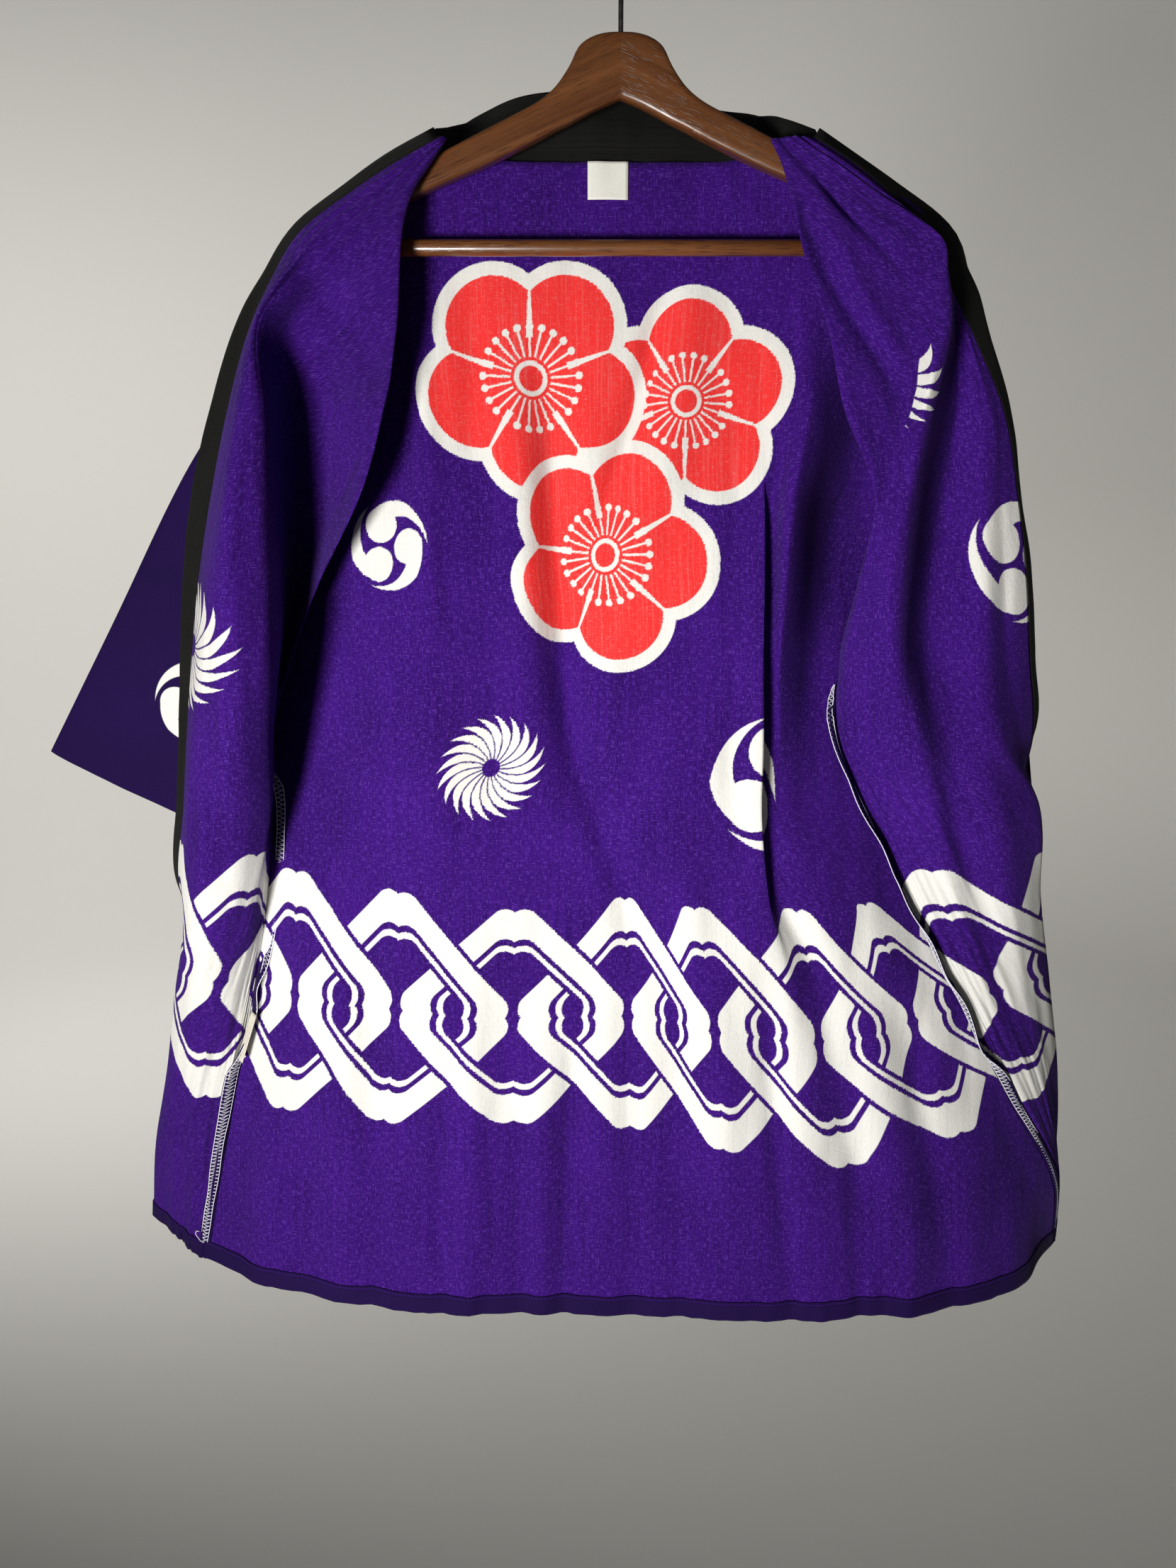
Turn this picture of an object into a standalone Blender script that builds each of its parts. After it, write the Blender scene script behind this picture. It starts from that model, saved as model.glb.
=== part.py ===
# A junior size happi coat hung wide open on a wooden hanger with a trouser bar.
# The origin is the seat of the hanger's hook, where a rail carries it. +Z is up, and the open
# fronts face -Y. Left and right are the viewer's. Every size below is in millimetres.
import math
from collections import namedtuple

import bmesh
import bpy
from mathutils import Vector

MM = 0.001

# Driving sizes of the hanger.
WOOD_TOP = -77.0
WIRE_RADIUS = 1.5
HOOK_RADIUS = 19.0
HOOK_START_ANGLE = -60
HOOK_END_ANGLE = 205
BAR_RADIUS = 4.7
BAR_HEIGHT = -191.5
BAR_HALF_LENGTH = 160.3
ARM_HALF_THICKNESS = 6.0
SEAT_GAP = 0.3

# Driving sizes of the coat: its cloth, its sewn parts and where they end.
CLOTH = 1.2
HEM_TURN_UP = 14.0
HEM_CLOTH = 2.0
BAND_CLOTH = 1.8
SEAM_GAP = 0.3
BAND_WIDTH = 50.0
NECK_HEIGHT = -141.5
HEM_HEIGHT = -885.0
UNDERARM_LEFT = -505.0
UNDERARM_RIGHT = -447.0
SHOULDER_END_LEFT = -250.0
SHOULDER_END_RIGHT = -245.0
LABEL_THICKNESS = 1.0
LABEL_LIFT = 0.5 * (CLOTH + LABEL_THICKNESS) + SEAM_GAP
NECK_LABEL_LEFT = -19.0
CARE_LABEL_TOP = -684.0

# The arm of the hanger, from its middle to its tip: distance out, top, underside.
ArmSection = namedtuple("ArmSection", "x top under")
ARM = [
    ArmSection(0, -77, -111.5),
    ArmSection(8, -77.4, -114.5),
    ArmSection(15, -79, -117.5),
    ArmSection(21, -82, -120.5),
    ArmSection(25, -86, -122.5),
    ArmSection(29, -94, -124.5),
    ArmSection(37, -105, -128),
    ArmSection(47, -113, -133),
    ArmSection(62, -120.5, -140),
    ArmSection(80, -129, -148),
    ArmSection(100, -138.5, -156),
    ArmSection(125, -149.7, -166.5),
    ArmSection(150, -161, -177),
    ArmSection(160, -165.5, -181.5),
    ArmSection(162, -166.4, -198),
    ArmSection(167, -169, -200),
    ArmSection(172, -172, -200.5),
    ArmSection(176.5, -177, -198),
    ArmSection(178.5, -183, -194),
]

# Where a front and the back meet at the coat's two sides: along the shoulder, down the armhole,
# and down the side seam. gape is half the width of the armhole's opening there.
SideRow = namedtuple("SideRow", "z left_x left_y left_gape right_x right_y right_gape")
SIDES = [
    SideRow(-136, -106, 0, 0, 102, 0, 0),
    SideRow(-150, -132, 0, 0, 132, 0, 0),
    SideRow(-165, -165, 0, 0, 165, 0, 0),
    SideRow(-175, -181, 1, 0, 180, 1, 0),
    SideRow(-187, -190, 3, 0, 188, 3, 0),
    SideRow(-210, -205, 12, 0, 202, 12, 0),
    SideRow(-240, -222, 34, 0, 214, 32, 0),
    SideRow(-285, -246, 50, 4, 226, 46, 4),
    SideRow(-335, -259, 58, 6, 222, 52, 6),
    SideRow(-385, -262, 61, 6, 187, 48, 5),
    SideRow(-435, -261, 60, 5, 149, 24, 1),
    SideRow(-485, -252, 54, 2, 145, 12, 0),
    SideRow(-535, -235, 36, 0, 166, 10, 0),
    SideRow(-600, -240, 34, 0, 196, 5, 0),
    SideRow(-670, -253, 35, 0, 234, 5, 0),
    SideRow(-745, -271, 37, 0, 276, 15, 0),
    SideRow(-820, -288, 40, 0, 321, 40, 0),
    SideRow(-885, -302, 43, 0, 334, 62, 0),
]

# The left front, thrown open: from its shoulder and side seam it runs in to the fold, back into a
# deep hollow, out to a ridge, over a rounded crest, and to the edge that the band is sewn to.
FrontRow = namedtuple("FrontRow", "z under fold hollow ridge crest turn edge")
FRONT_LEFT = [
    FrontRow(-136, (-103, -9), (-99, -11), (-103, -15), (-106, -16), (-109, -16), (-112, -15), (-115, -14)),
    FrontRow(-150, (-119, -11), (-109, -13), (-119, -17), (-125, -18), (-129, -18), (-134, -17), (-138, -15)),
    FrontRow(-165, (-134, -11), (-119, -15), (-134, -17), (-145, -19), (-151, -20), (-157, -19), (-161, -15)),
    FrontRow(-185, (-172, -10), (-126, -18), (-158, -14), (-168, -18), (-176, -20), (-182, -18), (-187, -13)),
    FrontRow(-210, (-186, -9), (-128, -21), (-176, -15), (-192, -22), (-199, -23), (-205, -19), (-208, -10)),
    FrontRow(-240, (-190, 2), (-130, -23), (-190, -5), (-207, -27), (-215, -28), (-221, -20), (-224, -4)),
    FrontRow(-285, (-200, 16), (-139, -23), (-200, 10), (-208, -33), (-222, -39), (-236, -25), (-240, 5)),
    FrontRow(-335, (-206, 28), (-155, -20), (-206, 22), (-207, -36), (-230, -46), (-249, -26), (-254, 11)),
    FrontRow(-385, (-211, 39), (-186, -1), (-211, 32), (-207, -36), (-236, -48), (-260, -26), (-266, 15)),
    FrontRow(-435, (-222, 45), (-212, 24), (-222, 38), (-209, -31), (-241, -44), (-268, -21), (-275, 19)),
    FrontRow(-485, (-238, 46), (-231, 40), (-231, 30), (-217, -17), (-247, -34), (-277, -14), (-283, 23)),
    FrontRow(-535, (-234, 33), (-233, 30), (-232, 22), (-227, 0), (-254, -20), (-284, -4), (-290, 27)),
    FrontRow(-600, (-240, 30), (-241, 27), (-242, 19), (-248, 7), (-270, -3), (-296, 14), (-301, 44)),
    FrontRow(-670, (-255, 32), (-257, 29), (-264, 23), (-275, 18), (-294, 21), (-314, 50), (-290, 84)),
    FrontRow(-745, (-274, 35), (-278, 33), (-287, 31), (-299, 31), (-314, 40), (-329, 70), (-262, 107)),
    FrontRow(-820, (-292, 39), (-297, 39), (-307, 41), (-319, 47), (-332, 60), (-348, 90), (-238, 124)),
    FrontRow(-885, (-307, 45), (-312, 48), (-321, 56), (-332, 68), (-344, 82), (-360, 108), (-232, 138)),
]

# The right front, the same way, except that its hollow is a shallow one next to the band.
FrontRightRow = namedtuple("FrontRightRow", "z under fold crease ridge valley turn edge")
FRONT_RIGHT = [
    FrontRightRow(-136, (92, -9), (86, -12), (92, -15), (96, -17), (100, -17), (105, -16), (110, -14)),
    FrontRightRow(-150, (112, -10), (93, -14), (107, -17), (116, -19), (125, -20), (132, -18), (138, -14)),
    FrontRightRow(-165, (136, -10), (98, -16), (121, -19), (136, -21), (148, -21), (155, -18), (160, -14)),
    FrontRightRow(-185, (170, -10), (102, -18), (140, -21), (160, -24), (172, -22), (179, -18), (184, -12)),
    FrontRightRow(-210, (183, -11), (110, -20), (158, -22), (182, -27), (190, -20), (195, -13), (199, -8)),
    FrontRightRow(-240, (184, 0), (121, -22), (166, -23), (189, -31), (201, -8), (211, -3), (219, 0)),
    FrontRightRow(-285, (190, 14), (132, -24), (167, -24), (177, -31), (205, 4), (224, 2), (237, 8)),
    FrontRightRow(-335, (190, 16), (153, -23), (159, -24), (168, -29), (201, 8), (230, 4), (251, 14)),
    FrontRightRow(-385, (170, 20), (149, -8), (153, -18), (164, -27), (200, 9), (234, 5), (262, 19)),
    FrontRightRow(-435, (146, 16), (143, 9), (148, -4), (164, -19), (201, 2), (238, 4), (270, 25)),
    FrontRightRow(-485, (147, 9), (150, 6), (162, -4), (182, -14), (212, -12), (246, -2), (277, 28)),
    FrontRightRow(-535, (170, 7), (175, 4), (188, -3), (208, -9), (238, -8), (280, 16), (272, 38)),
    FrontRightRow(-600, (202, 3), (208, 1), (222, -1), (240, 0), (264, 6), (292, 32), (262, 56)),
    FrontRightRow(-670, (240, 4), (246, 4), (258, 7), (272, 12), (290, 24), (308, 50), (244, 84)),
    FrontRightRow(-745, (281, 16), (286, 18), (296, 23), (305, 30), (314, 41), (322, 64), (226, 104)),
    FrontRightRow(-820, (325, 45), (328, 49), (331, 54), (333, 60), (335, 68), (332, 84), (214, 112)),
    FrontRightRow(-885, (338, 68), (340, 72), (342, 77), (343, 82), (341, 89), (332, 101), (208, 117)),
]

# The back, from left to right: the hollow beside the left seam, where the cloth comes forward
# again, the middle, the edge of the pleat and how far the pleat is tucked under, the ridge to the
# right of it and the hollow beside the right seam.
BackRow = namedtuple("BackRow", "z hollow_left front_left middle_y pleat tuck ridge hollow_right")
BACK = [
    BackRow(-139, (-92, 8), (-72, 11), 12, (42, 12), 0, (64, 11), (84, 8)),
    BackRow(-150, (-116, 8), (-78, 12), 12, (50, 12), 0, (80, 11), (116, 8)),
    BackRow(-165, (-146, 8), (-90, 12), 12, (58, 12), 0, (96, 11), (146, 8)),
    BackRow(-185, (-174, 9), (-100, 12), 12, (66, 12), 0, (108, 11), (174, 9)),
    BackRow(-210, (-182, 15), (-108, 12), 11, (72, 11), 0, (115, 9), (180, 15)),
    BackRow(-240, (-194, 25), (-114, 11), 10, (78, 9), 0, (119, 4), (182, 24)),
    BackRow(-285, (-206, 36), (-122, 9), 8, (84, 5), 0, (119, -4), (168, 33)),
    BackRow(-335, (-214, 42), (-128, 6), 5, (88, -3), 4, (112, -9), (140, 28)),
    BackRow(-385, (-218, 50), (-132, 4), 2, (89, -10), 12, (110, -7), (132, 24)),
    BackRow(-435, (-226, 54), (-134, 2), -1, (89, -16), 19, (109, -4), (124, 14)),
    BackRow(-485, (-230, 52), (-134, -1), -5, (90, -21), 23, (113, -2), (128, 4)),
    BackRow(-535, (-222, 38), (-130, -5), -9, (90, -24), 20, (119, -8), (140, -2)),
    BackRow(-600, (-206, 16), (-125, -10), -14, (98, -26), 5, (140, -17), (168, -8)),
    BackRow(-670, (-204, 6), (-120, -14), -17, (110, -27), 0, (165, -20), (201, -9)),
    BackRow(-745, (-216, 6), (-125, -17), -19, (120, -28), 0, (186, -22), (240, -4)),
    BackRow(-820, (-236, 8), (-135, -19), -21, (125, -29), 0, (206, -22), (272, 3)),
    BackRow(-885, (-246, 9), (-140, -20), -22, (130, -30), 0, (216, -22), (286, 6)),
]
BACK_MIDDLE_X = -20.0

# Soft folds down the back: place and height at top and bottom, half width, depth away from -Y.
Fold = namedtuple("Fold", "top_x top_z bottom_x bottom_z half_width depth")
BACK_FOLDS = [
    Fold(-22, -250, -16, -600, 17, 11),
    Fold(40, -170, -12, -420, 14, 6),
    Fold(18, -300, 30, -640, 22, -5),
    Fold(-75, -260, -70, -560, 20, -5),
    Fold(-104, -620, -118, -890, 18, 4),
    Fold(-52, -600, -60, -890, 16, -4),
    Fold(8, -640, 4, -890, 15, 4),
    Fold(62, -620, 70, -890, 18, -5),
    Fold(150, -640, 172, -890, 16, 6),
    Fold(-170, -640, -190, -890, 20, 5),
]

# The band beyond the edge it is sewn to: outward and backward to its middle and its free edge.
BandRow = namedtuple("BandRow", "z middle_out middle_back end_out end_back")
BAND_LEFT = [
    BandRow(-136, 10, 22, 5, 44),
    BandRow(-165, 11, 22, 4, 44),
    BandRow(-190, 12, 20, 5, 42),
    BandRow(-210, 13, 18, 7, 38),
    BandRow(-225, 15, 13, 12, 32),
    BandRow(-240, 15, 11, 9, 29),
    BandRow(-285, 14, 12, 4, 27),
    BandRow(-335, 15, 11, -2, 28),
    BandRow(-385, 14, 11, -6, 28),
    BandRow(-485, 11, 14, -8, 29),
    BandRow(-535, 9, 17, -8, 31),
    BandRow(-600, 5, 22, -12, 40),
    BandRow(-670, -14, 17, -40, 26),
    BandRow(-745, -24, 6, -48, 13),
    BandRow(-885, -24, 5, -48, 11),
]
BAND_RIGHT = [
    BandRow(-136, 10, 22, 5, 44),
    BandRow(-165, 12, 22, 5, 44),
    BandRow(-190, 15, 20, 8, 42),
    BandRow(-210, 16, 18, 10, 38),
    BandRow(-225, 15, 14, 12, 32),
    BandRow(-240, 14, 13, 8, 29),
    BandRow(-285, 11, 14, -3, 27),
    BandRow(-335, 8, 13, -12, 22),
    BandRow(-385, 6, 12, -16, 20),
    BandRow(-435, 5, 10, -20, 17),
    BandRow(-485, 3, 9, -22, 14),
    BandRow(-535, -21, 6, -44, 8),
    BandRow(-600, -22, 4, -46, 7),
    BandRow(-670, -23, 8, -47, 13),
    BandRow(-885, -24, 4, -48, 9),
]

# The band behind the neck, from left to right: the foot it is sewn along, and how far its middle
# and its free edge stand up and lean back from there.
NeckRow = namedtuple("NeckRow", "x y z middle_up middle_back end_up end_back")
NECK = [
    NeckRow(-115, -14, -136, 10, 22, 6, 44),
    NeckRow(-108, -3, -130, 10, 19, 10, 43),
    NeckRow(-99, 7, -132, 14, 18, 18, 38),
    NeckRow(-84, 11, -138, 19, 16, 28, 36),
    NeckRow(-60, 12, -140, 22, 13, 36, 31),
    NeckRow(-30, 12, -141, 22, 12, 39, 29),
    NeckRow(5, 12, -141, 22, 12, 38, 29),
    NeckRow(38, 12, -140, 20, 13, 34, 31),
    NeckRow(64, 11, -138, 17, 15, 27, 35),
    NeckRow(82, 9, -132, 12, 17, 18, 39),
    NeckRow(93, 2, -127, 9, 19, 11, 43),
    NeckRow(102, -8, -128, 9, 21, 8, 44),
    NeckRow(110, -14, -136, 10, 22, 6, 44),
]

# How far a sleeve's first ring stands off the armhole's line: outwards, and its two layers apart.
ArmholeGap = namedtuple("ArmholeGap", "out apart")
ARMHOLE_GAP_LEFT = ArmholeGap(1.0, 1.0)
ARMHOLE_GAP_RIGHT = ArmholeGap(1.9, 0.8)

# Each sleeve is a flattened tube. Its rows run from the armhole to the cuff: the ends of the upper
# and of the under fold there, and half the depth of the hollow between its two layers.
SleeveRow = namedtuple("SleeveRow", "top under half_depth")
SLEEVE_LEFT = [
    SleeveRow((-286, 61, -318), (-246, 72, -530), 9),
    SleeveRow((-341, 66, -412), (-210, 88, -572), 11),
    SleeveRow((-396, 70, -506), (-178, 101, -622), 12),
]
SLEEVE_RIGHT = [
    SleeveRow((254, 59, -318), (138, 54, -490), 9),
    SleeveRow((278, 68, -428), (99, 79, -548), 11),
    SleeveRow((301, 77, -556), (60, 102, -620), 12),
]


def mixed(a, b, share):
    return a + (b - a) * share


def smooth_through(stations, values, at):
    """Cubic curve through values given at rising stations, read at one place."""
    last = len(stations) - 1
    at = min(max(at, stations[0]), stations[last])
    i = 0
    while i < last - 1 and at > stations[i + 1]:
        i += 1

    def slope(k):
        low, high = max(k - 1, 0), min(k + 1, last)
        return (values[high] - values[low]) / (stations[high] - stations[low])

    span = stations[i + 1] - stations[i]
    t = (at - stations[i]) / span
    return ((2 * t ** 3 - 3 * t ** 2 + 1) * values[i] + (t ** 3 - 2 * t ** 2 + t) * span * slope(i)
            + (3 * t ** 2 - 2 * t ** 3) * values[i + 1] + (t ** 3 - t ** 2) * span * slope(i + 1))


def column(rows, z, read):
    """One column of a table of rows that go down the cloth, at height z."""
    return smooth_through([-row.z for row in rows], [read(row) for row in rows], -z)


def place(rows, z, name):
    """An (x, y) column of such a table, at height z."""
    return Vector((column(rows, z, lambda row: getattr(row, name)[0]),
                   column(rows, z, lambda row: getattr(row, name)[1])))


def along(points, share):
    """A point of the smooth curve through a section's points, its stations spaced by distance."""
    stations = [0.0]
    for a, b in zip(points, points[1:]):
        stations.append(stations[-1] + max((b - a).length, 0.5) ** 0.5)
    place_in_row = share * (len(points) - 1)
    i = min(int(place_in_row), len(points) - 2)
    at = mixed(stations[i], stations[i + 1], place_in_row - i)
    return Vector([smooth_through(stations, [p[k] for p in points], at) for k in range(len(points[0]))])


def side_point(z, side, layer):
    """Where the front (layer -1) or the back (layer 1) ends at a side, at height z."""
    x = column(SIDES, z, lambda row: row.left_x if side < 0 else row.right_x)
    y = column(SIDES, z, lambda row: row.left_y if side < 0 else row.right_y)
    gape = column(SIDES, z, lambda row: row.left_gape if side < 0 else row.right_gape)
    return Vector((x, y + layer * max(gape, 0.0)))


def next_to_side(z, side, layer, inner):
    """The point that follows a side: down one face of the arm where the cloth lies over it."""
    lying_over = 1.0 - min(max((-z - 185.0) / 40.0, 0.0), 1.0)
    edge = side_point(z, side, layer)
    return edge.lerp(inner, 0.35).lerp(edge + Vector((-side * 4.5, layer * 8.4)), lying_over)


def front_row(rows, side, z):
    """The points of a front's section: under the flap from its side, then the flap to its edge."""
    places = [place(rows, z, name) for name in rows[0]._fields[1:]]
    return [side_point(z, side, -1), next_to_side(z, side, -1, places[0])] + places


def back_row(z):
    """The points of the back's section, from its left side to its right side."""
    pleat = place(BACK, z, "pleat")
    tuck = max(column(BACK, z, lambda row: row.tuck), 0.0)
    middle = Vector((BACK_MIDDLE_X, column(BACK, z, lambda row: row.middle_y)))
    hollow_left = place(BACK, z, "hollow_left")
    front_left = place(BACK, z, "front_left")
    hollow_right = place(BACK, z, "hollow_right")
    return [
        side_point(z, -1, 1),
        next_to_side(z, -1, 1, hollow_left),
        hollow_left,
        front_left,
        front_left.lerp(middle, 0.5),
        middle,
        middle.lerp(pleat, 0.55),
        pleat,
        pleat + Vector((3.0 - tuck, 1.0 + 0.16 * tuck)),
        pleat + Vector((7.0, 2.0 + 0.36 * tuck)),
        place(BACK, z, "ridge"),
        hollow_right,
        next_to_side(z, 1, 1, hollow_right),
        side_point(z, 1, 1),
    ]


def bump(distance):
    return math.exp(-distance * distance)


def fold_depth(folds, x, z):
    """How far the soft folds move the cloth back at one place."""
    depth = 0.0
    for fold in folds:
        down = (fold.top_z - z) / (fold.top_z - fold.bottom_z)
        if 0.0 < down < 1.0:
            runs_to_hem = fold.bottom_z < HEM_HEIGHT
            fade = math.sin(math.pi * (min(down, 0.5) if runs_to_hem else down))
            line = mixed(fold.top_x, fold.bottom_x, down)
            depth += fold.depth * fade * bump((x - line) / fold.half_width)
    return depth


def front_point(rows, side, share, z):
    """A point of a front: share 0 is its side, share 1 the edge that the band is sewn to."""
    x, y = along(front_row(rows, side, z), share)
    return Vector((x, y, z))


def back_point(share, z):
    """A point of the back: share 0 is its left side, share 1 its right side."""
    x, y = along(back_row(z), share)
    return Vector((x, y + fold_depth(BACK_FOLDS, x, z), z))


def seam_relief(one_way, other_way, half_wall):
    """How far a wall ends short of a seam line, so that the two walls meet there without crossing."""
    turn = math.pi - one_way.angle(other_way)
    return min(0.5 * SEAM_GAP + half_wall * math.tan(0.5 * turn), 3.0)


def side_relief(rows, side, z):
    """The same for a front and the back at their side, at height z. Along the armhole they gape."""
    if side_point(z, side, 1).y - side_point(z, side, -1).y > 2 * CLOTH:
        return SEAM_GAP
    front_way = front_row(rows, side, z)[1] - side_point(z, side, -1)
    back_points = back_row(z)
    back_way = (back_points[1] if side < 0 else back_points[-2]) - side_point(z, side, 1)
    return seam_relief(front_way, back_way, 0.5 * CLOTH + 0.1)


def trimmed(here, inner, relief):
    return here + (inner - here).normalized() * relief


def edge_line(rows, z):
    x, y = place(rows, z, "edge")
    return Vector((x, y, z))


def band_section(rows, band_rows, side, z):
    """Foot, middle and free edge of the band beside a front's edge at height z."""
    foot = edge_line(rows, z)
    step = 4.0
    line = edge_line(rows, min(z + step, rows[0].z)) - edge_line(rows, z - step)
    outward = Vector((side * abs(line.z), 0.0, -side * line.x * (1 if line.z > 0 else -1))).normalized()
    backward = Vector((0.0, 1.0, 0.0))
    section = [foot]
    for name in ("middle", "end"):
        out = column(band_rows, z, lambda row: getattr(row, name + "_out"))
        back = column(band_rows, z, lambda row: getattr(row, name + "_back"))
        section.append(foot + outward * out + backward * back)
    return section


def neck_section(share):
    """Foot, middle and free edge of the band behind the neck."""
    stations = list(range(len(NECK)))
    at = share * (len(NECK) - 1)

    def read(name):
        return smooth_through(stations, [getattr(row, name) for row in NECK], at)

    foot = Vector((read("x"), read("y"), read("z")))
    middle = foot + Vector((0.0, read("middle_back"), read("middle_up")))
    end = foot + Vector((0.0, read("end_back"), read("end_up")))
    return [foot, middle, end]


def edge_relief(rows, section, side, z):
    """How far a front and its band end short of the line they are sewn along, at height z."""
    inner = front_point(rows, side, 0.98, z)
    outer = along(section, 0.05)
    return seam_relief(inner - section[0], outer - section[0], 0.5 * HEM_CLOTH) + 0.1


def across_band(section, share, relief):
    """From just beyond the front's edge to the band's free edge."""
    return along(section, mixed(relief / BAND_WIDTH, 1.0, share))


def cloth_heights(top):
    """Heights of the mesh's rows: every section, one between far ones, and two at the turn-up."""
    turn_up = HEM_HEIGHT + HEM_TURN_UP
    sections = [top] + [row.z for row in SIDES if turn_up < row.z < top - 4.0] + [turn_up]
    heights = []
    for upper, lower in zip(sections, sections[1:]):
        heights.append(upper)
        if upper - lower > 24.0:
            heights.append(0.5 * (upper + lower))
    return heights + [turn_up, turn_up - 2.0, HEM_HEIGHT]


def material(name, colour, roughness, metallic=0.0):
    made = bpy.data.materials.new(name)
    made.use_nodes = True
    shader = made.node_tree.nodes["Principled BSDF"]
    shader.inputs["Base Color"].default_value = (*colour, 1.0)
    shader.inputs["Roughness"].default_value = roughness
    shader.inputs["Metallic"].default_value = metallic
    return made


def placed_object(name, mesh, finish):
    made = bpy.data.objects.new(name, mesh)
    made.data.materials.append(finish)
    bpy.context.scene.collection.objects.link(made)
    return made


def sheet(name, across, down, point, finish, thickness, thin_share=1.0, is_thick=None):
    """A wall of cloth on the surface that point(column, row) gives, with its rim."""
    mesh = bmesh.new()
    bmesh.ops.create_grid(mesh, x_segments=across, y_segments=down, size=0.5)
    rows = {}
    for vert in mesh.verts:
        i, j = round((vert.co.x + 0.5) * across), round((0.5 - vert.co.y) * down)
        rows[vert.index] = j
        vert.co = point(i, j) * MM
    data = bpy.data.meshes.new(name)
    mesh.to_mesh(data)
    mesh.free()
    data.shade_smooth()
    made = placed_object(name, data, finish)
    wall = made.modifiers.new("wall", "SOLIDIFY")
    wall.thickness = thickness * MM
    wall.offset = 0.0
    if is_thick:
        weights = made.vertex_groups.new(name="thickness")
        for index, j in rows.items():
            weights.add([index], 1.0 if is_thick(j) else thin_share, "REPLACE")
        wall.vertex_group = "thickness"
    return made


def tube(name, around, lengthwise, point, finish, thickness, closed_ends=False):
    """A wall, or with closed ends a solid, around the rings that point(corner, ring) gives."""
    mesh = bmesh.new()
    bmesh.ops.create_grid(mesh, x_segments=around, y_segments=lengthwise, size=0.5)
    for vert in mesh.verts:
        corner = round((vert.co.x + 0.5) * around) % around
        j = round((0.5 - vert.co.y) * lengthwise)
        vert.co = point(corner, j) * MM
    bmesh.ops.remove_doubles(mesh, verts=mesh.verts, dist=0.00001)
    if closed_ends:
        bmesh.ops.holes_fill(mesh, edges=[edge for edge in mesh.edges if edge.is_boundary], sides=0)
        bmesh.ops.triangulate(mesh, faces=[face for face in mesh.faces if len(face.verts) > 4])
    bmesh.ops.recalc_face_normals(mesh, faces=mesh.faces)
    data = bpy.data.meshes.new(name)
    mesh.to_mesh(data)
    mesh.free()
    data.shade_smooth()
    made = placed_object(name, data, finish)
    if not closed_ends:
        wall = made.modifiers.new("wall", "SOLIDIFY")
        wall.thickness = thickness * MM
        wall.offset = 0.0
    return made


def front(name, rows, band_rows, side, finish):
    heights = cloth_heights(rows[0].z)
    across = 2 * len(rows[0]._fields)
    fine = 0.1 / across

    def point(i, j):
        z = heights[j]
        here = front_point(rows, side, i / across, z)
        if i == 0:
            return trimmed(here, front_point(rows, side, fine, z), side_relief(rows, side, z))
        if i == across:
            section = band_section(rows, band_rows, side, z)
            return trimmed(here, front_point(rows, side, 1.0 - fine, z), edge_relief(rows, section, side, z))
        return here

    return sheet(name, across, len(heights) - 1, point, finish, HEM_CLOTH,
                 CLOTH / HEM_CLOTH, lambda j: j >= len(heights) - 2)


def neck_line(x):
    """Height of the back's upper edge: level behind the neck, then up to the shoulders."""
    return NECK_HEIGHT + 6.5 * min(max((abs(x) - 58.0) / 42.0, 0.0), 1.0) ** 1.5


def back(finish):
    across = 26
    fine = 0.1 / across
    tops = [neck_line(back_point(i / across, NECK_HEIGHT).x) for i in range(across + 1)]
    heights = [cloth_heights(top) for top in tops]
    last = len(heights[0]) - 1

    def point(i, j):
        z = heights[i][j]
        here = back_point(i / across, z)
        if i == 0:
            return trimmed(here, back_point(fine, z), side_relief(FRONT_LEFT, -1, z))
        if i == across:
            return trimmed(here, back_point(1.0 - fine, z), side_relief(FRONT_RIGHT, 1, z))
        return here

    return sheet("back", across, last, point, finish, HEM_CLOTH, CLOTH / HEM_CLOTH, lambda j: j >= last - 1)


def side_band(name, rows, band_rows, side, finish):
    heights = cloth_heights(rows[0].z)
    heights[0] -= 1.0
    down = len(heights) - 1
    sections = [band_section(rows, band_rows, side, z) for z in heights]
    reliefs = [edge_relief(rows, section, side, z) for section, z in zip(sections, heights)]

    def point(i, j):
        return across_band(sections[j], i / 4, reliefs[j])

    return sheet(name, 4, down, point, finish, BAND_CLOTH)


def neck_band(finish):
    along_neck = 24
    sections = [neck_section(mixed(0.01, 0.99, j / along_neck)) for j in range(along_neck + 1)]
    return sheet("band_neck", 4, along_neck, lambda i, j: across_band(sections[j], i / 4, SEAM_GAP),
                 finish, BAND_CLOTH)


def sleeve(name, rows, side, shoulder_end, underarm, gap, finish):
    """A flattened tube from the armhole, whose opening its first ring follows, to the cuff."""
    lengthwise = 9
    inner = [z for z in cloth_heights(NECK_HEIGHT) if underarm + 4.0 < z < shoulder_end - 4.0]
    heights = [shoulder_end] + inner + [underarm]
    half_way = len(heights) - 1

    def armhole(z, layer):
        edge = side_point(z, side, layer)
        return Vector((edge.x + side * gap.out, edge.y + layer * gap.apart, z))

    def ring(row, down, layer):
        centre = Vector(row.top).lerp(Vector(row.under), down)
        return centre + Vector((0.0, layer * row.half_depth * math.sqrt(4 * down * (1 - down)), 0.0))

    def point(corner, j):
        z = heights[min(corner, 2 * half_way - corner)]
        layer = -1 if corner < half_way else 1
        down = (shoulder_end - z) / (shoulder_end - underarm)
        rings = [armhole(z, layer)] + [ring(row, down, layer) for row in rows]
        return along(rings, j / lengthwise)

    return tube(name, 2 * half_way, lengthwise, point, finish, CLOTH)


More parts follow.
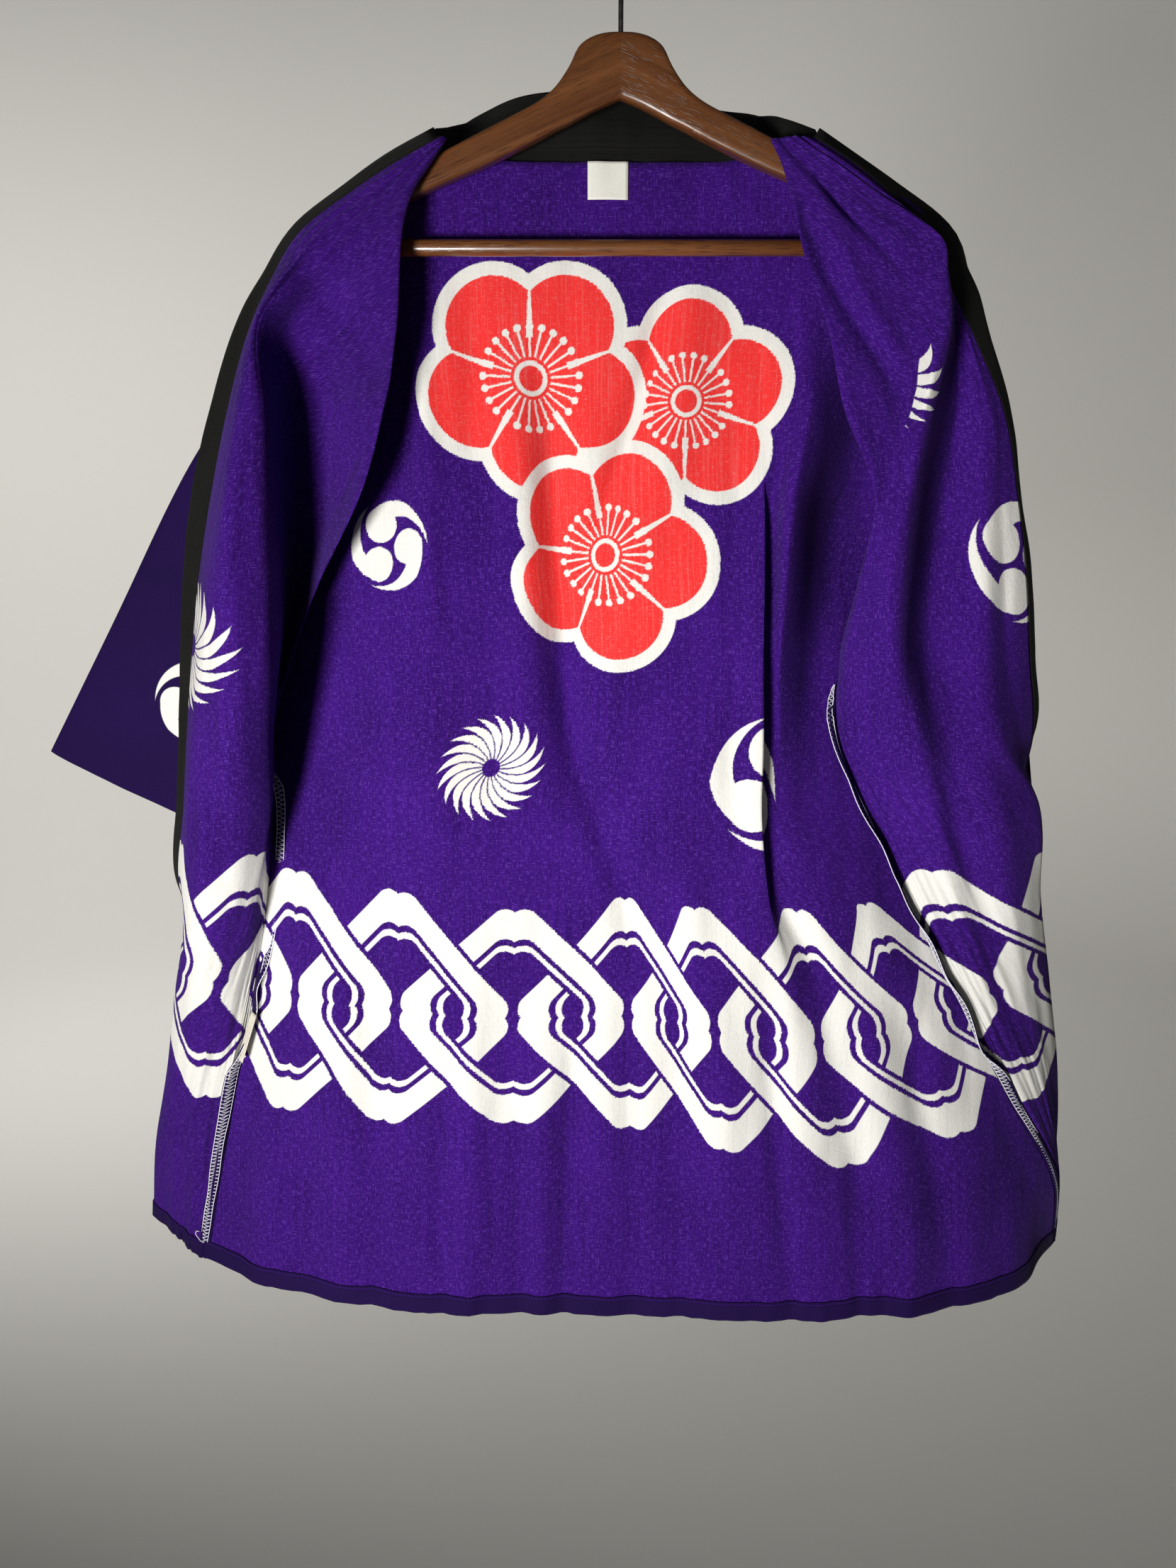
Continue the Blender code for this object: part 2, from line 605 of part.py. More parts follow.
def label(name, width, height, place_on_cloth, finish):
    """A small woven label on the cloth, whose place is read at so far across and so far down it."""
    return sheet(name, 4, 3, lambda i, j: place_on_cloth(width * i / 4, height * j / 3),
                 finish, LABEL_THICKNESS)


def below_neck_seam(across, down):
    """A place in front of the back's cloth, just under the middle of the neck."""
    x, z = NECK_LABEL_LEFT + across, NECK_HEIGHT - down
    low, high = 0.2, 0.6
    for _ in range(30):
        share = 0.5 * (low + high)
        if back_point(share, z).x < x:
            low = share
        else:
            high = share
    return Vector((x, back_point(low, z).y - LABEL_LIFT, z))


def beside_left_seam(across, down):
    """A place in front of the back's cloth, beside its left seam, where the label stands off it."""
    z = CARE_LABEL_TOP - down
    seam = side_point(z, -1, 1)
    way = (back_row(z)[1] - seam).normalized()
    facing = Vector((way.y, -way.x))
    x, y = seam + way * (3.0 + across) + facing * (LABEL_LIFT + 0.15 * across)
    return Vector((x, y, z))


def hanger_arms(finish):
    """Both arms and the crown in one piece of wood, with its edges rounded."""
    rounding, around = 0.45, 16
    rows = [ArmSection(-row.x, row.top, row.under) for row in reversed(ARM[1:])] + ARM

    def point(corner, j):
        row = rows[j]
        angle = 2 * math.pi * corner / around
        upright = math.copysign(abs(math.sin(angle)) ** rounding, math.sin(angle))
        sideways = math.copysign(abs(math.cos(angle)) ** rounding, math.cos(angle))
        centre, half = 0.5 * (row.top + row.under), 0.5 * (row.top - row.under)
        return Vector((row.x, ARM_HALF_THICKNESS * sideways, centre + half * upright))

    return tube("hanger_arms", around, len(rows) - 1, point, finish, 0.0, closed_ends=True)


def hanger_bar(finish):
    mesh = bmesh.new()
    bmesh.ops.create_cone(mesh, cap_ends=True, segments=16, radius1=BAR_RADIUS * MM,
                          radius2=BAR_RADIUS * MM, depth=2 * BAR_HALF_LENGTH * MM)
    data = bpy.data.meshes.new("hanger_bar")
    mesh.to_mesh(data)
    mesh.free()
    data.shade_smooth()
    data.set_sharp_from_angle(angle=math.radians(40))
    made = placed_object("hanger_bar", data, finish)
    made.location.z = BAR_HEIGHT * MM
    made.rotation_euler.y = math.radians(90)


def hook(finish):
    """Bent wire: a stem out of the crown, then round over the rail. The seat is at the origin."""
    centre_z = WIRE_RADIUS - HOOK_RADIUS
    guide = [Vector((0, 0, WOOD_TOP + SEAT_GAP)), Vector((0, 0, WOOD_TOP + 18)),
             Vector((0.6, 0, WOOD_TOP + 29)), Vector((4.2, 0, WOOD_TOP + 37.5))]
    for angle in range(HOOK_START_ANGLE, HOOK_END_ANGLE + 1, 15):
        turn = math.radians(angle)
        guide.append(Vector((HOOK_RADIUS * math.cos(turn), 0, centre_z + HOOK_RADIUS * math.sin(turn))))
    curve = bpy.data.curves.new("hook", "CURVE")
    curve.dimensions = "3D"
    curve.bevel_depth = WIRE_RADIUS * MM
    curve.bevel_resolution = 2
    curve.use_fill_caps = True
    points = [along(guide, i / 44) for i in range(45)]
    spline = curve.splines.new("POLY")
    spline.points.add(len(points) - 1)
    for target, point in zip(spline.points, points):
        target.co = (*(point * MM), 1.0)
    placed_object("hook", curve, finish)


for old in list(bpy.data.objects):
    bpy.data.objects.remove(old)

purple = material("purple cotton", (0.055, 0.012, 0.22), 0.85)
black = material("black cotton", (0.012, 0.012, 0.011), 0.9)
woven_label = material("label tape", (0.72, 0.70, 0.62), 0.8)
wood = material("varnished wood", (0.17, 0.045, 0.014), 0.35)
wire = material("dark wire", (0.12, 0.12, 0.12), 0.35, 1.0)

hook(wire)
hanger_arms(wood)
hanger_bar(wood)
back(purple)
front("front_left", FRONT_LEFT, BAND_LEFT, -1, purple)
front("front_right", FRONT_RIGHT, BAND_RIGHT, 1, purple)
sleeve("sleeve_left", SLEEVE_LEFT, -1, SHOULDER_END_LEFT, UNDERARM_LEFT, ARMHOLE_GAP_LEFT, purple)
sleeve("sleeve_right", SLEEVE_RIGHT, 1, SHOULDER_END_RIGHT, UNDERARM_RIGHT, ARMHOLE_GAP_RIGHT, purple)
side_band("band_left", FRONT_LEFT, BAND_LEFT, -1, black)
side_band("band_right", FRONT_RIGHT, BAND_RIGHT, 1, black)
neck_band(black)
label("neck_label", 24.0, 21.0, below_neck_seam, woven_label)
label("care_label", 12.5, 36.0, beside_left_seam, woven_label)
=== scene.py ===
import math
from collections import namedtuple
from functools import cache, partial

import bmesh
import bpy
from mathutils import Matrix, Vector, noise


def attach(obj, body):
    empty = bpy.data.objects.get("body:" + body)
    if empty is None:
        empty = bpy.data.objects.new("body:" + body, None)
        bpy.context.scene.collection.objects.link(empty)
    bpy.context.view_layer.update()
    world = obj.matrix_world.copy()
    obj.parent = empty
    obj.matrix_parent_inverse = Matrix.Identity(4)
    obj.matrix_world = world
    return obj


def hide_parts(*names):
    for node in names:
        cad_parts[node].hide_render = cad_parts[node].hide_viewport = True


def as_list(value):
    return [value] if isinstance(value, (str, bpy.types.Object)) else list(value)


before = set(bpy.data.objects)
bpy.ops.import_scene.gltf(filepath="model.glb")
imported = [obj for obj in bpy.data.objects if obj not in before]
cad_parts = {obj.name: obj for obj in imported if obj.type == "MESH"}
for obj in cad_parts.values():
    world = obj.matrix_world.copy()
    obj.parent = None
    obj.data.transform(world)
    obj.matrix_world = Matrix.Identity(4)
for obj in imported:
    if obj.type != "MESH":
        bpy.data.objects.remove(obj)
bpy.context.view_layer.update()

MM = 0.001

# The camera stands close before the coat and looks a little down on it, as it hung for the
# photograph, with a lens of the same angle.
IMAGE_HEIGHT = 2212
FOCAL_PIXELS = 1670
SENSOR = 36.0
CAMERA_PLACE = Vector((-18.8, -750.0, -360.0)) * MM
CAMERA_DOWN = math.radians(11.7)

lens = bpy.data.cameras.new("camera")
lens.sensor_width = SENSOR
lens.lens = SENSOR * FOCAL_PIXELS / IMAGE_HEIGHT
camera = bpy.data.objects.new("camera", lens)
camera.location = CAMERA_PLACE
camera.rotation_euler = (math.radians(90) - CAMERA_DOWN, 0.0, 0.0)
bpy.context.scene.collection.objects.link(camera)
bpy.context.scene.camera = camera
bpy.context.scene.view_settings.view_transform = "Standard"

# The room is a round dish of pale paint: a floor, a rounded foot and a wall all round. A soft
# lamp low in front on the left stands for the window, one behind lights the wall, and the sky is dim.
ROOM_RADIUS = 4.2
ROOM_FOOT_RADIUS = 1.2
ROOM_FLOOR = -1.6
ROOM_TOP = 2.4
ROOM_FOOT_STEPS = 12
ROOM_SIDES = 96
PAINT = (0.78, 0.765, 0.73)
SKY = (0.86, 0.92, 1.0)
SKY_STRENGTH = 0.05


def table(columns, rows):
    """Rows of values under the names of their columns."""
    row_of = namedtuple("row_of", columns)
    return [row_of(*row) for row in rows]


LIGHTS = table("name place aim size spread power colour", [
    ("window", (-0.85, -1.6, -0.95), (0.0, 0.0, -0.5), 0.5, 60, 6.3, (1.0, 0.985, 0.95)),
    ("wall_wash", (-1.6, 1.0, 0.5), (-0.2, 4.2, -0.6), 1.2, 160, 55.0, (1.0, 0.99, 0.97)),
])


def made_object(name, data):
    made = bpy.data.objects.new(name, data)
    bpy.context.scene.collection.objects.link(made)
    return made


def as_object(name, mesh, finish):
    """The bmesh as an object with its finish, smooth and with its place in its mesh."""
    data = bpy.data.meshes.new(name)
    mesh.to_mesh(data)
    mesh.free()
    data.shade_smooth()
    data.materials.append(finish.material)
    return made_object(name, data)


class Finish:
    """A material in the making. Even numbers sit on its shader, and nodes work out what varies."""

    def __init__(self, name, even_numbers):
        self.material = bpy.data.materials.new(name)
        self.material.use_nodes = True
        self.tree = self.material.node_tree
        self.shader = self.tree.nodes["Principled BSDF"]
        for entry, number in even_numbers.items():
            self.feed(self.shader.inputs[entry], number)

    def node(self, kind, **settings):
        made = self.tree.nodes.new("ShaderNode" + kind)
        for setting, value in settings.items():
            setattr(made, setting, value)
        return made

    def feed(self, entry, value):
        """Gives a node's entry a number, a colour, or what another node works out."""
        value = getattr(value, "socket", value)
        if isinstance(value, bpy.types.NodeSocket):
            self.tree.links.new(value, entry)
        else:
            entry.default_value = (*value, 1.0) if entry.type == "RGBA" else value

    def paint(self, colour):
        self.feed(self.shader.inputs["Base Color"], colour)


dish = bmesh.new()
foot_centre = Vector((ROOM_RADIUS - ROOM_FOOT_RADIUS, 0.0, ROOM_FLOOR + ROOM_FOOT_RADIUS))
profile = [Vector((0.0, 0.0, ROOM_FLOOR))]
for step in range(ROOM_FOOT_STEPS + 1):
    turn = math.radians(90.0 * step / ROOM_FOOT_STEPS)
    profile.append(foot_centre + Vector((math.sin(turn), 0.0, -math.cos(turn))) * ROOM_FOOT_RADIUS)
profile.append(Vector((ROOM_RADIUS, 0.0, ROOM_TOP)))
rim = [dish.verts.new(place) for place in profile]
lines = [dish.edges.new(pair) for pair in zip(rim, rim[1:])]
bmesh.ops.spin(dish, geom=rim + lines, cent=(0, 0, 0), axis=(0, 0, 1), angle=2 * math.pi,
               steps=ROOM_SIDES, use_merge=True)
bmesh.ops.remove_doubles(dish, verts=dish.verts, dist=0.0001)
bmesh.ops.recalc_face_normals(dish, faces=dish.faces)
bmesh.ops.reverse_faces(dish, faces=dish.faces)
pale_paint = Finish("pale paint", {"Roughness": 0.9})
pale_paint.paint(PAINT)
as_object("room", dish, pale_paint)

world = bpy.data.worlds.new("sky")
world.use_nodes = True
world.node_tree.nodes["Background"].inputs["Color"].default_value = (*SKY, 1.0)
world.node_tree.nodes["Background"].inputs["Strength"].default_value = SKY_STRENGTH
bpy.context.scene.world = world

for light in LIGHTS:
    lamp = bpy.data.lights.new(light.name, "AREA")
    lamp.shape = "DISK"
    lamp.size = light.size
    lamp.spread = math.radians(light.spread)
    lamp.energy = light.power
    lamp.color = light.colour
    stand = made_object(light.name, lamp)
    stand.location = light.place
    stand.rotation_euler = (Vector(light.aim) - stand.location).to_track_quat("-Z", "Y").to_euler()

# The hook is one length of plated wire, turned dark with use and screwed into the crown: a stem,
# then round over the rail that carries the hanger, ending in a blunt tip.
WOOD_TOP = -77.0
WIRE_RADIUS = 1.5
HOOK_RADIUS = 19.0
HOOK_START_ANGLE = -60
HOOK_END_ANGLE = 205
HOOK_ANGLE_STEP = 15
# The stem, from its screwed-in end: how far to the right, and how far over the top of the wood.
HOOK_STEM = [(0, -12), (0, 18), (0.6, 29), (4.2, 37.5)]
HOOK_STEPS = 120


def mixed(a, b, share):
    return a + (b - a) * share


def smooth_through(stations, values, at):
    """Cubic curve through values given at rising stations, read at one place."""
    last = len(stations) - 1
    at = min(max(at, stations[0]), stations[last])
    i = 0
    while i < last - 1 and at > stations[i + 1]:
        i += 1

    def slope(k):
        low, high = max(k - 1, 0), min(k + 1, last)
        return (values[high] - values[low]) / (stations[high] - stations[low])

    span = stations[i + 1] - stations[i]
    t = (at - stations[i]) / span
    return ((2 * t ** 3 - 3 * t ** 2 + 1) * values[i] + (t ** 3 - 2 * t ** 2 + t) * span * slope(i)
            + (3 * t ** 2 - 2 * t ** 3) * values[i + 1] + (t ** 3 - t ** 2) * span * slope(i + 1))


def along(points, share):
    """A point of the smooth curve through a section's points. The shares run evenly over the
    points, and the stations are spaced by the square root of their distance."""
    stations = [0.0]
    for a, b in zip(points, points[1:]):
        stations.append(stations[-1] + max((b - a).length, 0.5) ** 0.5)
    place_in_row = share * (len(points) - 1)
    i = min(int(place_in_row), len(points) - 2)
    at = mixed(stations[i], stations[i + 1], place_in_row - i)
    return Vector([smooth_through(stations, [p[k] for p in points], at) for k in range(len(points[0]))])


class Reading:
    """A number that a material's nodes work out at each place, so that patterns are plain sums."""

    def __init__(self, finish, socket):
        self.finish = finish
        self.socket = socket

    def worked(self, operation, *others, within=False):
        step = self.finish.node("Math", operation=operation, use_clamp=within)
        for entry, value in zip(step.inputs, (self, *others)):
            self.finish.feed(entry, value)
        return Reading(self.finish, step.outputs[0])

    def __add__(self, other):
        return self.worked("ADD", other)

    def __sub__(self, other):
        return self.worked("SUBTRACT", other)

    def __mul__(self, other):
        return self.worked("MULTIPLY", other)

    def __truediv__(self, other):
        return self.worked("DIVIDE", other)

    def __abs__(self):
        return self.worked("ABSOLUTE")

    __radd__ = __add__
    __rmul__ = __mul__

    def __rsub__(self, other):
        return self * -1.0 + other

    def above(self, edge, softness):
        """0 below an edge, 1 above it, and in between over so wide a step."""
        return ((self - edge) / softness + 0.5).worked("ADD", 0.0, within=True)


def noise_over(finish, vector, cells, detail=2.0):
    """Cloudy noise from 0 to 1, with so many cells a metre along each of three directions."""
    spread, clouds = finish.node("Mapping"), finish.node("TexNoise")
    for entry, value in ((spread.inputs["Scale"], cells), (spread.inputs["Vector"], vector),
                         (clouds.inputs["Scale"], 1.0), (clouds.inputs["Detail"], detail),
                         (clouds.inputs["Vector"], spread.outputs["Vector"])):
        finish.feed(entry, value)
    return Reading(finish, clouds.outputs[0])


def mixed_colour(finish, share, first, second):
    """One colour where the share is 0 and the other where it is 1."""
    blend = finish.node("Mix", data_type="RGBA")
    for entry, value in ((0, share), (6, first), (7, second)):
        finish.feed(blend.inputs[entry], value)
    return blend.outputs[2]


def raise_surface(finish, height, depth):
    """Lets a reading from 0 to 1 stand so many millimetres out of the surface."""
    relief = finish.node("Bump")
    for name, value in (("Strength", 1.0), ("Distance", depth * MM), ("Height", height)):
        finish.feed(relief.inputs[name], value)
    finish.feed(finish.shader.inputs["Normal"], relief.outputs["Normal"])


def dark_wire():
    """Dull plating with fine scratches along and across it, and duller spots."""
    finish = Finish("dark wire", {"Roughness": 0.4, "Metallic": 1.0})
    place_there = finish.node("TexCoord").outputs["Object"]
    spots = noise_over(finish, place_there, (220, 220, 220), detail=4.0)
    scratches = noise_over(finish, place_there, (1800, 1800, 160))
    finish.paint(mixed_colour(finish, spots, (0.05, 0.05, 0.05), (0.16, 0.155, 0.15)))
    finish.feed(finish.shader.inputs["Roughness"], spots * 0.35 + 0.22)
    raise_surface(finish, scratches, 0.02)
    return finish


def wire_object(name, radius, roundness, runs, finish, closed_ends):
    """Round wire or thread along each run of places, in millimetres."""
    line = bpy.data.curves.new(name, "CURVE")
    line.dimensions = "3D"
    line.bevel_depth = radius * MM
    line.bevel_resolution = roundness
    line.use_fill_caps = closed_ends
    for places in runs:
        run = line.splines.new("POLY")
        run.points.add(len(places) - 1)
        for target, spot in zip(run.points, places):
            target.co = (*(spot * MM), 1.0)
    line.materials.append(finish.material)
    return made_object(name, line)


centre_height = WIRE_RADIUS - HOOK_RADIUS
guide = [Vector((x, 0, WOOD_TOP + up)) for x, up in HOOK_STEM]
for angle in range(HOOK_START_ANGLE, HOOK_END_ANGLE + 1, HOOK_ANGLE_STEP):
    turn = math.radians(angle)
    guide.append(Vector((HOOK_RADIUS * math.cos(turn), 0,
                         centre_height + HOOK_RADIUS * math.sin(turn))))
wire_points = [along(guide, step / HOOK_STEPS) for step in range(HOOK_STEPS + 1)]
hook_wire = wire_object("hook_wire", WIRE_RADIUS, 5, [wire_points], dark_wire(), True)
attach(hook_wire, "root")
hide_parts("hook")

# The arms and the crown are sawn from one board of reddish brown wood, with rounded edges, and
# varnished. The grain runs out along both arms and shows as fine dark pores. Lighter patches of
# painted highlight stand in for the varnish's shine.
ARM_HALF_THICKNESS = 6.0
EDGE_ROUNDING = 0.42
ARM_RINGS = 220
ARM_CORNERS = 48
GRAIN_SLOPE = 0.42
WOOD_DARK = (0.072, 0.021, 0.006)
WOOD_LIGHT = (0.140, 0.047, 0.013)
WOOD_PAINTED_HIGHLIGHT = (0.190, 0.070, 0.020)
WOOD_PORE = (0.022, 0.006, 0.003)
# The arm of the hanger, from its middle to its tip: distance out, top, underside.
ARM = table("x top under", [
    (0, -77, -111.5),
    (8, -77.4, -114.5),
    (15, -79, -117.5),
    (21, -82, -120.5),
    (25, -86, -122.5),
    (29, -94, -124.5),
    (37, -105, -128),
    (47, -113, -133),
    (62, -120.5, -140),
    (80, -129, -148),
    (100, -138.5, -156),
    (125, -149.7, -166.5),
    (150, -161, -177),
    (160, -165.5, -181.5),
    (162, -166.4, -198),
    (167, -169, -200),
    (172, -172, -200.5),
    (176.5, -177, -198),
    (178.5, -183, -194),
])


def ringed(name, around, lengthwise, point, finish):
    """A closed solid around the rings that point(corner, ring) gives, its map round and along."""
    mesh = bmesh.new()
    bmesh.ops.create_grid(mesh, x_segments=around, y_segments=lengthwise, size=0.5, calc_uvs=False)
    for vert in mesh.verts:
        corner = round((vert.co.x + 0.5) * around) % around
        ring = round((0.5 - vert.co.y) * lengthwise)
        vert.co = point(corner, ring) * MM
    bmesh.ops.remove_doubles(mesh, verts=mesh.verts, dist=0.00001)
    bmesh.ops.holes_fill(mesh, edges=[edge for edge in mesh.edges if edge.is_boundary], sides=0)
    bmesh.ops.recalc_face_normals(mesh, faces=mesh.faces)
    return as_object(name, mesh, finish)


def varnished_wood(name, slope):
    """Stained wood under satin varnish, with lighter patches painted into its colour as highlights. The
    grain of each half runs out and down by the slope.
    """
    finish = Finish(name, {"Roughness": 0.32, "Coat Weight": 0.3, "Coat Roughness": 0.18})
    split, join = finish.node("SeparateXYZ"), finish.node("CombineXYZ")
    finish.feed(split.inputs[0], finish.node("TexCoord").outputs["Object"])
    x, y, z = (Reading(finish, output) for output in split.outputs)
    for entry, value in zip(join.inputs, (x, y, z + abs(x) * slope)):
        finish.feed(entry, value)
    bands = noise_over(finish, join.outputs[0], (9, 90, 260), detail=3.0)
    # Painted highlight: large lighter patches, mixed into the stained colour below, stand in for the
    # varnish's shine.
    highlight_patches = noise_over(finish, join.outputs[0], (4, 20, 45))
    pores = noise_over(finish, join.outputs[0], (70, 1500, 1900), detail=1.0).above(0.63, 0.1)
    stained_and_highlit = mixed_colour(finish, bands.above(0.5, 0.35), WOOD_DARK, WOOD_LIGHT)
    stained_and_highlit = mixed_colour(finish, highlight_patches.above(0.55, 0.5) * 0.55, stained_and_highlit, WOOD_PAINTED_HIGHLIGHT)
    finish.paint(mixed_colour(finish, pores * 0.7, stained_and_highlit, WOOD_PORE))
    finish.feed(finish.shader.inputs["Roughness"], bands * 0.14 + 0.24)
    raise_surface(finish, bands * 0.4 - pores * 0.8, 0.06)
    return finish


def arm_point(corner, ring):
    """A point of the arms: one of the rounded corners of one of the sections along them."""
    x = mixed(-ARM[-1].x, ARM[-1].x, ring / ARM_RINGS)
    top, under = (smooth_through([row.x for row in ARM], values, abs(x))
                  for values in ([row.top for row in ARM], [row.under for row in ARM]))
    angle = 2 * math.pi * corner / ARM_CORNERS
    upright, sideways = (math.copysign(abs(part) ** EDGE_ROUNDING, part)
                         for part in (math.sin(angle), math.cos(angle)))
    return Vector((x, ARM_HALF_THICKNESS * sideways, 0.5 * (top + under) + 0.5 * (top - under) * upright))


arms = ringed("arms", ARM_CORNERS, ARM_RINGS, arm_point, varnished_wood("arm wood", GRAIN_SLOPE))
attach(arms, "root")
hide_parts("hanger_arms")

# The trouser bar is a turned dowel of the same wood, glued into the ends of both arms.
# It runs level, and its varnish shines along its upper side.
BAR_RADIUS = 4.7
BAR_HEIGHT = -191.5
BAR_HALF_LENGTH = 160.3
BAR_END_ROUNDING = 0.6

dowel = bmesh.new()
bmesh.ops.create_cone(dowel, cap_ends=True, segments=40, radius1=BAR_RADIUS * MM,
                      radius2=BAR_RADIUS * MM, depth=2 * BAR_HALF_LENGTH * MM)
ends = [edge for edge in dowel.edges if abs(edge.verts[0].co.z - edge.verts[1].co.z) < 1e-6]
bmesh.ops.bevel(dowel, geom=ends, offset=BAR_END_ROUNDING * MM, segments=2, profile=0.5,
                affect="EDGES", material=-1)
bmesh.ops.rotate(dowel, verts=dowel.verts, cent=(0, 0, 0),
                 matrix=Vector((0, 0, 1)).rotation_difference(Vector((1, 0, 0))).to_matrix())
bmesh.ops.translate(dowel, verts=dowel.verts, vec=(0, 0, BAR_HEIGHT * MM))
bar = as_object("bar", dowel, varnished_wood("bar wood", 0.0))
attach(bar, "root")
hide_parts("hanger_bar")

# The back is one width of plain woven cotton, dyed purple with its marks left white. It hangs
# from the hanger with its inside to the front, in soft folds, one of them tucked under as a pleat.
CLOTH = 0.8
NECK_HEIGHT = -141.5
HEM_HEIGHT = -885.0
# Where a front and the back meet at the coat's two sides: along the shoulder, down the armhole,
# and down the side seam. gape is half the width of the armhole's opening there.
SIDES = table("z left_x left_y left_gape right_x right_y right_gape", [
    (-136, -106, 0, 0, 102, 0, 0),
    (-150, -132, 0, 0, 132, 0, 0),
    (-165, -165, 0, 0, 165, 0, 0),
    (-175, -181, 1, 0, 180, 1, 0),
    (-187, -190, 3, 0, 188, 3, 0),
    (-210, -205, 12, 0, 202, 12, 0),
    (-240, -222, 34, 0, 214, 32, 0),
    (-285, -246, 50, 4, 226, 46, 4),
    (-335, -259, 58, 6, 222, 52, 6),
    (-385, -262, 61, 6, 187, 48, 5),
    (-435, -261, 60, 5, 149, 24, 1),
    (-485, -252, 54, 2, 145, 12, 0),
    (-535, -235, 36, 0, 166, 10, 0),
    (-600, -240, 34, 0, 196, 5, 0),
    (-670, -253, 35, 0, 234, 5, 0),
    (-745, -271, 37, 0, 276, 15, 0),
    (-820, -288, 40, 0, 321, 40, 0),
    (-885, -302, 43, 0, 334, 62, 0),
])

# The back, from left to right: the hollow beside the left seam, where the cloth comes forward
# again, the middle, the edge of the pleat and how far the pleat is tucked under, the ridge to the
# right of it and the hollow beside the right seam.
BACK = table("z hollow_left front_left middle_y pleat tuck ridge hollow_right", [
    (-139, (-92, 8), (-72, 11), 12, (42, 12), 0, (64, 11), (84, 8)),
    (-150, (-116, 8), (-78, 12), 12, (50, 12), 0, (80, 11), (116, 8)),
    (-165, (-146, 8), (-90, 12), 12, (58, 12), 0, (96, 11), (146, 8)),
    (-185, (-174, 9), (-100, 12), 12, (66, 12), 0, (108, 11), (174, 9)),
    (-210, (-182, 15), (-108, 12), 11, (72, 11), 0, (113, 9), (180, 16)),
    (-240, (-194, 25), (-114, 11), 10, (78, 9), 0, (117, 3), (180, 28)),
    (-285, (-206, 36), (-122, 9), 8, (84, 3), 0, (117, -7), (162, 40)),
    (-335, (-214, 42), (-128, 6), 5, (88, -6), 6, (107, -12), (144, 38)),
    (-385, (-218, 50), (-132, 4), 2, (89, -13), 14, (104, -12), (135, 32)),
    (-435, (-226, 54), (-134, 2), -1, (89, -19), 20, (102, -10), (126, 18)),
    (-485, (-230, 52), (-134, -1), -5, (90, -23), 23, (104, -8), (126, 6)),
    (-535, (-222, 38), (-130, -5), -9, (90, -26), 20, (111, -10), (138, -1)),
    (-600, (-206, 16), (-125, -10), -14, (98, -27), 5, (136, -17), (168, -8)),
    (-670, (-204, 6), (-120, -14), -17, (110, -27), 0, (165, -20), (201, -9)),
    (-745, (-216, 6), (-125, -17), -19, (120, -28), 0, (186, -22), (240, -4)),
    (-820, (-236, 8), (-135, -19), -21, (125, -29), 0, (206, -22), (272, 3)),
    (-885, (-246, 9), (-140, -20), -22, (130, -30), 0, (216, -22), (286, 6)),
])
BACK_MIDDLE_X = -20.0
# Down to this depth the cloth lies on both faces of the arm. Over so many millimetres more it
# comes free.
ARM_LEAVES_CLOTH = 185.0
COMES_FREE_WITHIN = 40.0
# The share of a piece's width at each side over which its folds come up.
BACK_SIDE_SHARE = 0.06
FRONT_SIDE_SHARE = 0.08
# The point after a side: such a share of the way to the next, or so far in and off it at the arm.
NEXT_SHARE = 0.35
NEXT_IN = 4.5
NEXT_OFF = 8.4
# The back's upper edge is level behind the neck, so far to each side, then rises to the shoulders.
# The grid's rows rise with it, down to so far below the neck.
NECK_LEVEL_HALF = 58.0
NECK_RISES_WITHIN = 42.0
NECK_RISE = 6.5
NECK_ROWS_WITHIN = 24.0
# How much of the creases' depth shows, and how much of that is left at the hem, over what height.
CREASE_SHARE = 1.15
HEM_CREASES = 0.45
HEM_CALM = 120.0
LONG_FOLDS = 1.7
SMALL_FOLDS = 0.8
HEM_PUCKERS = 1.2

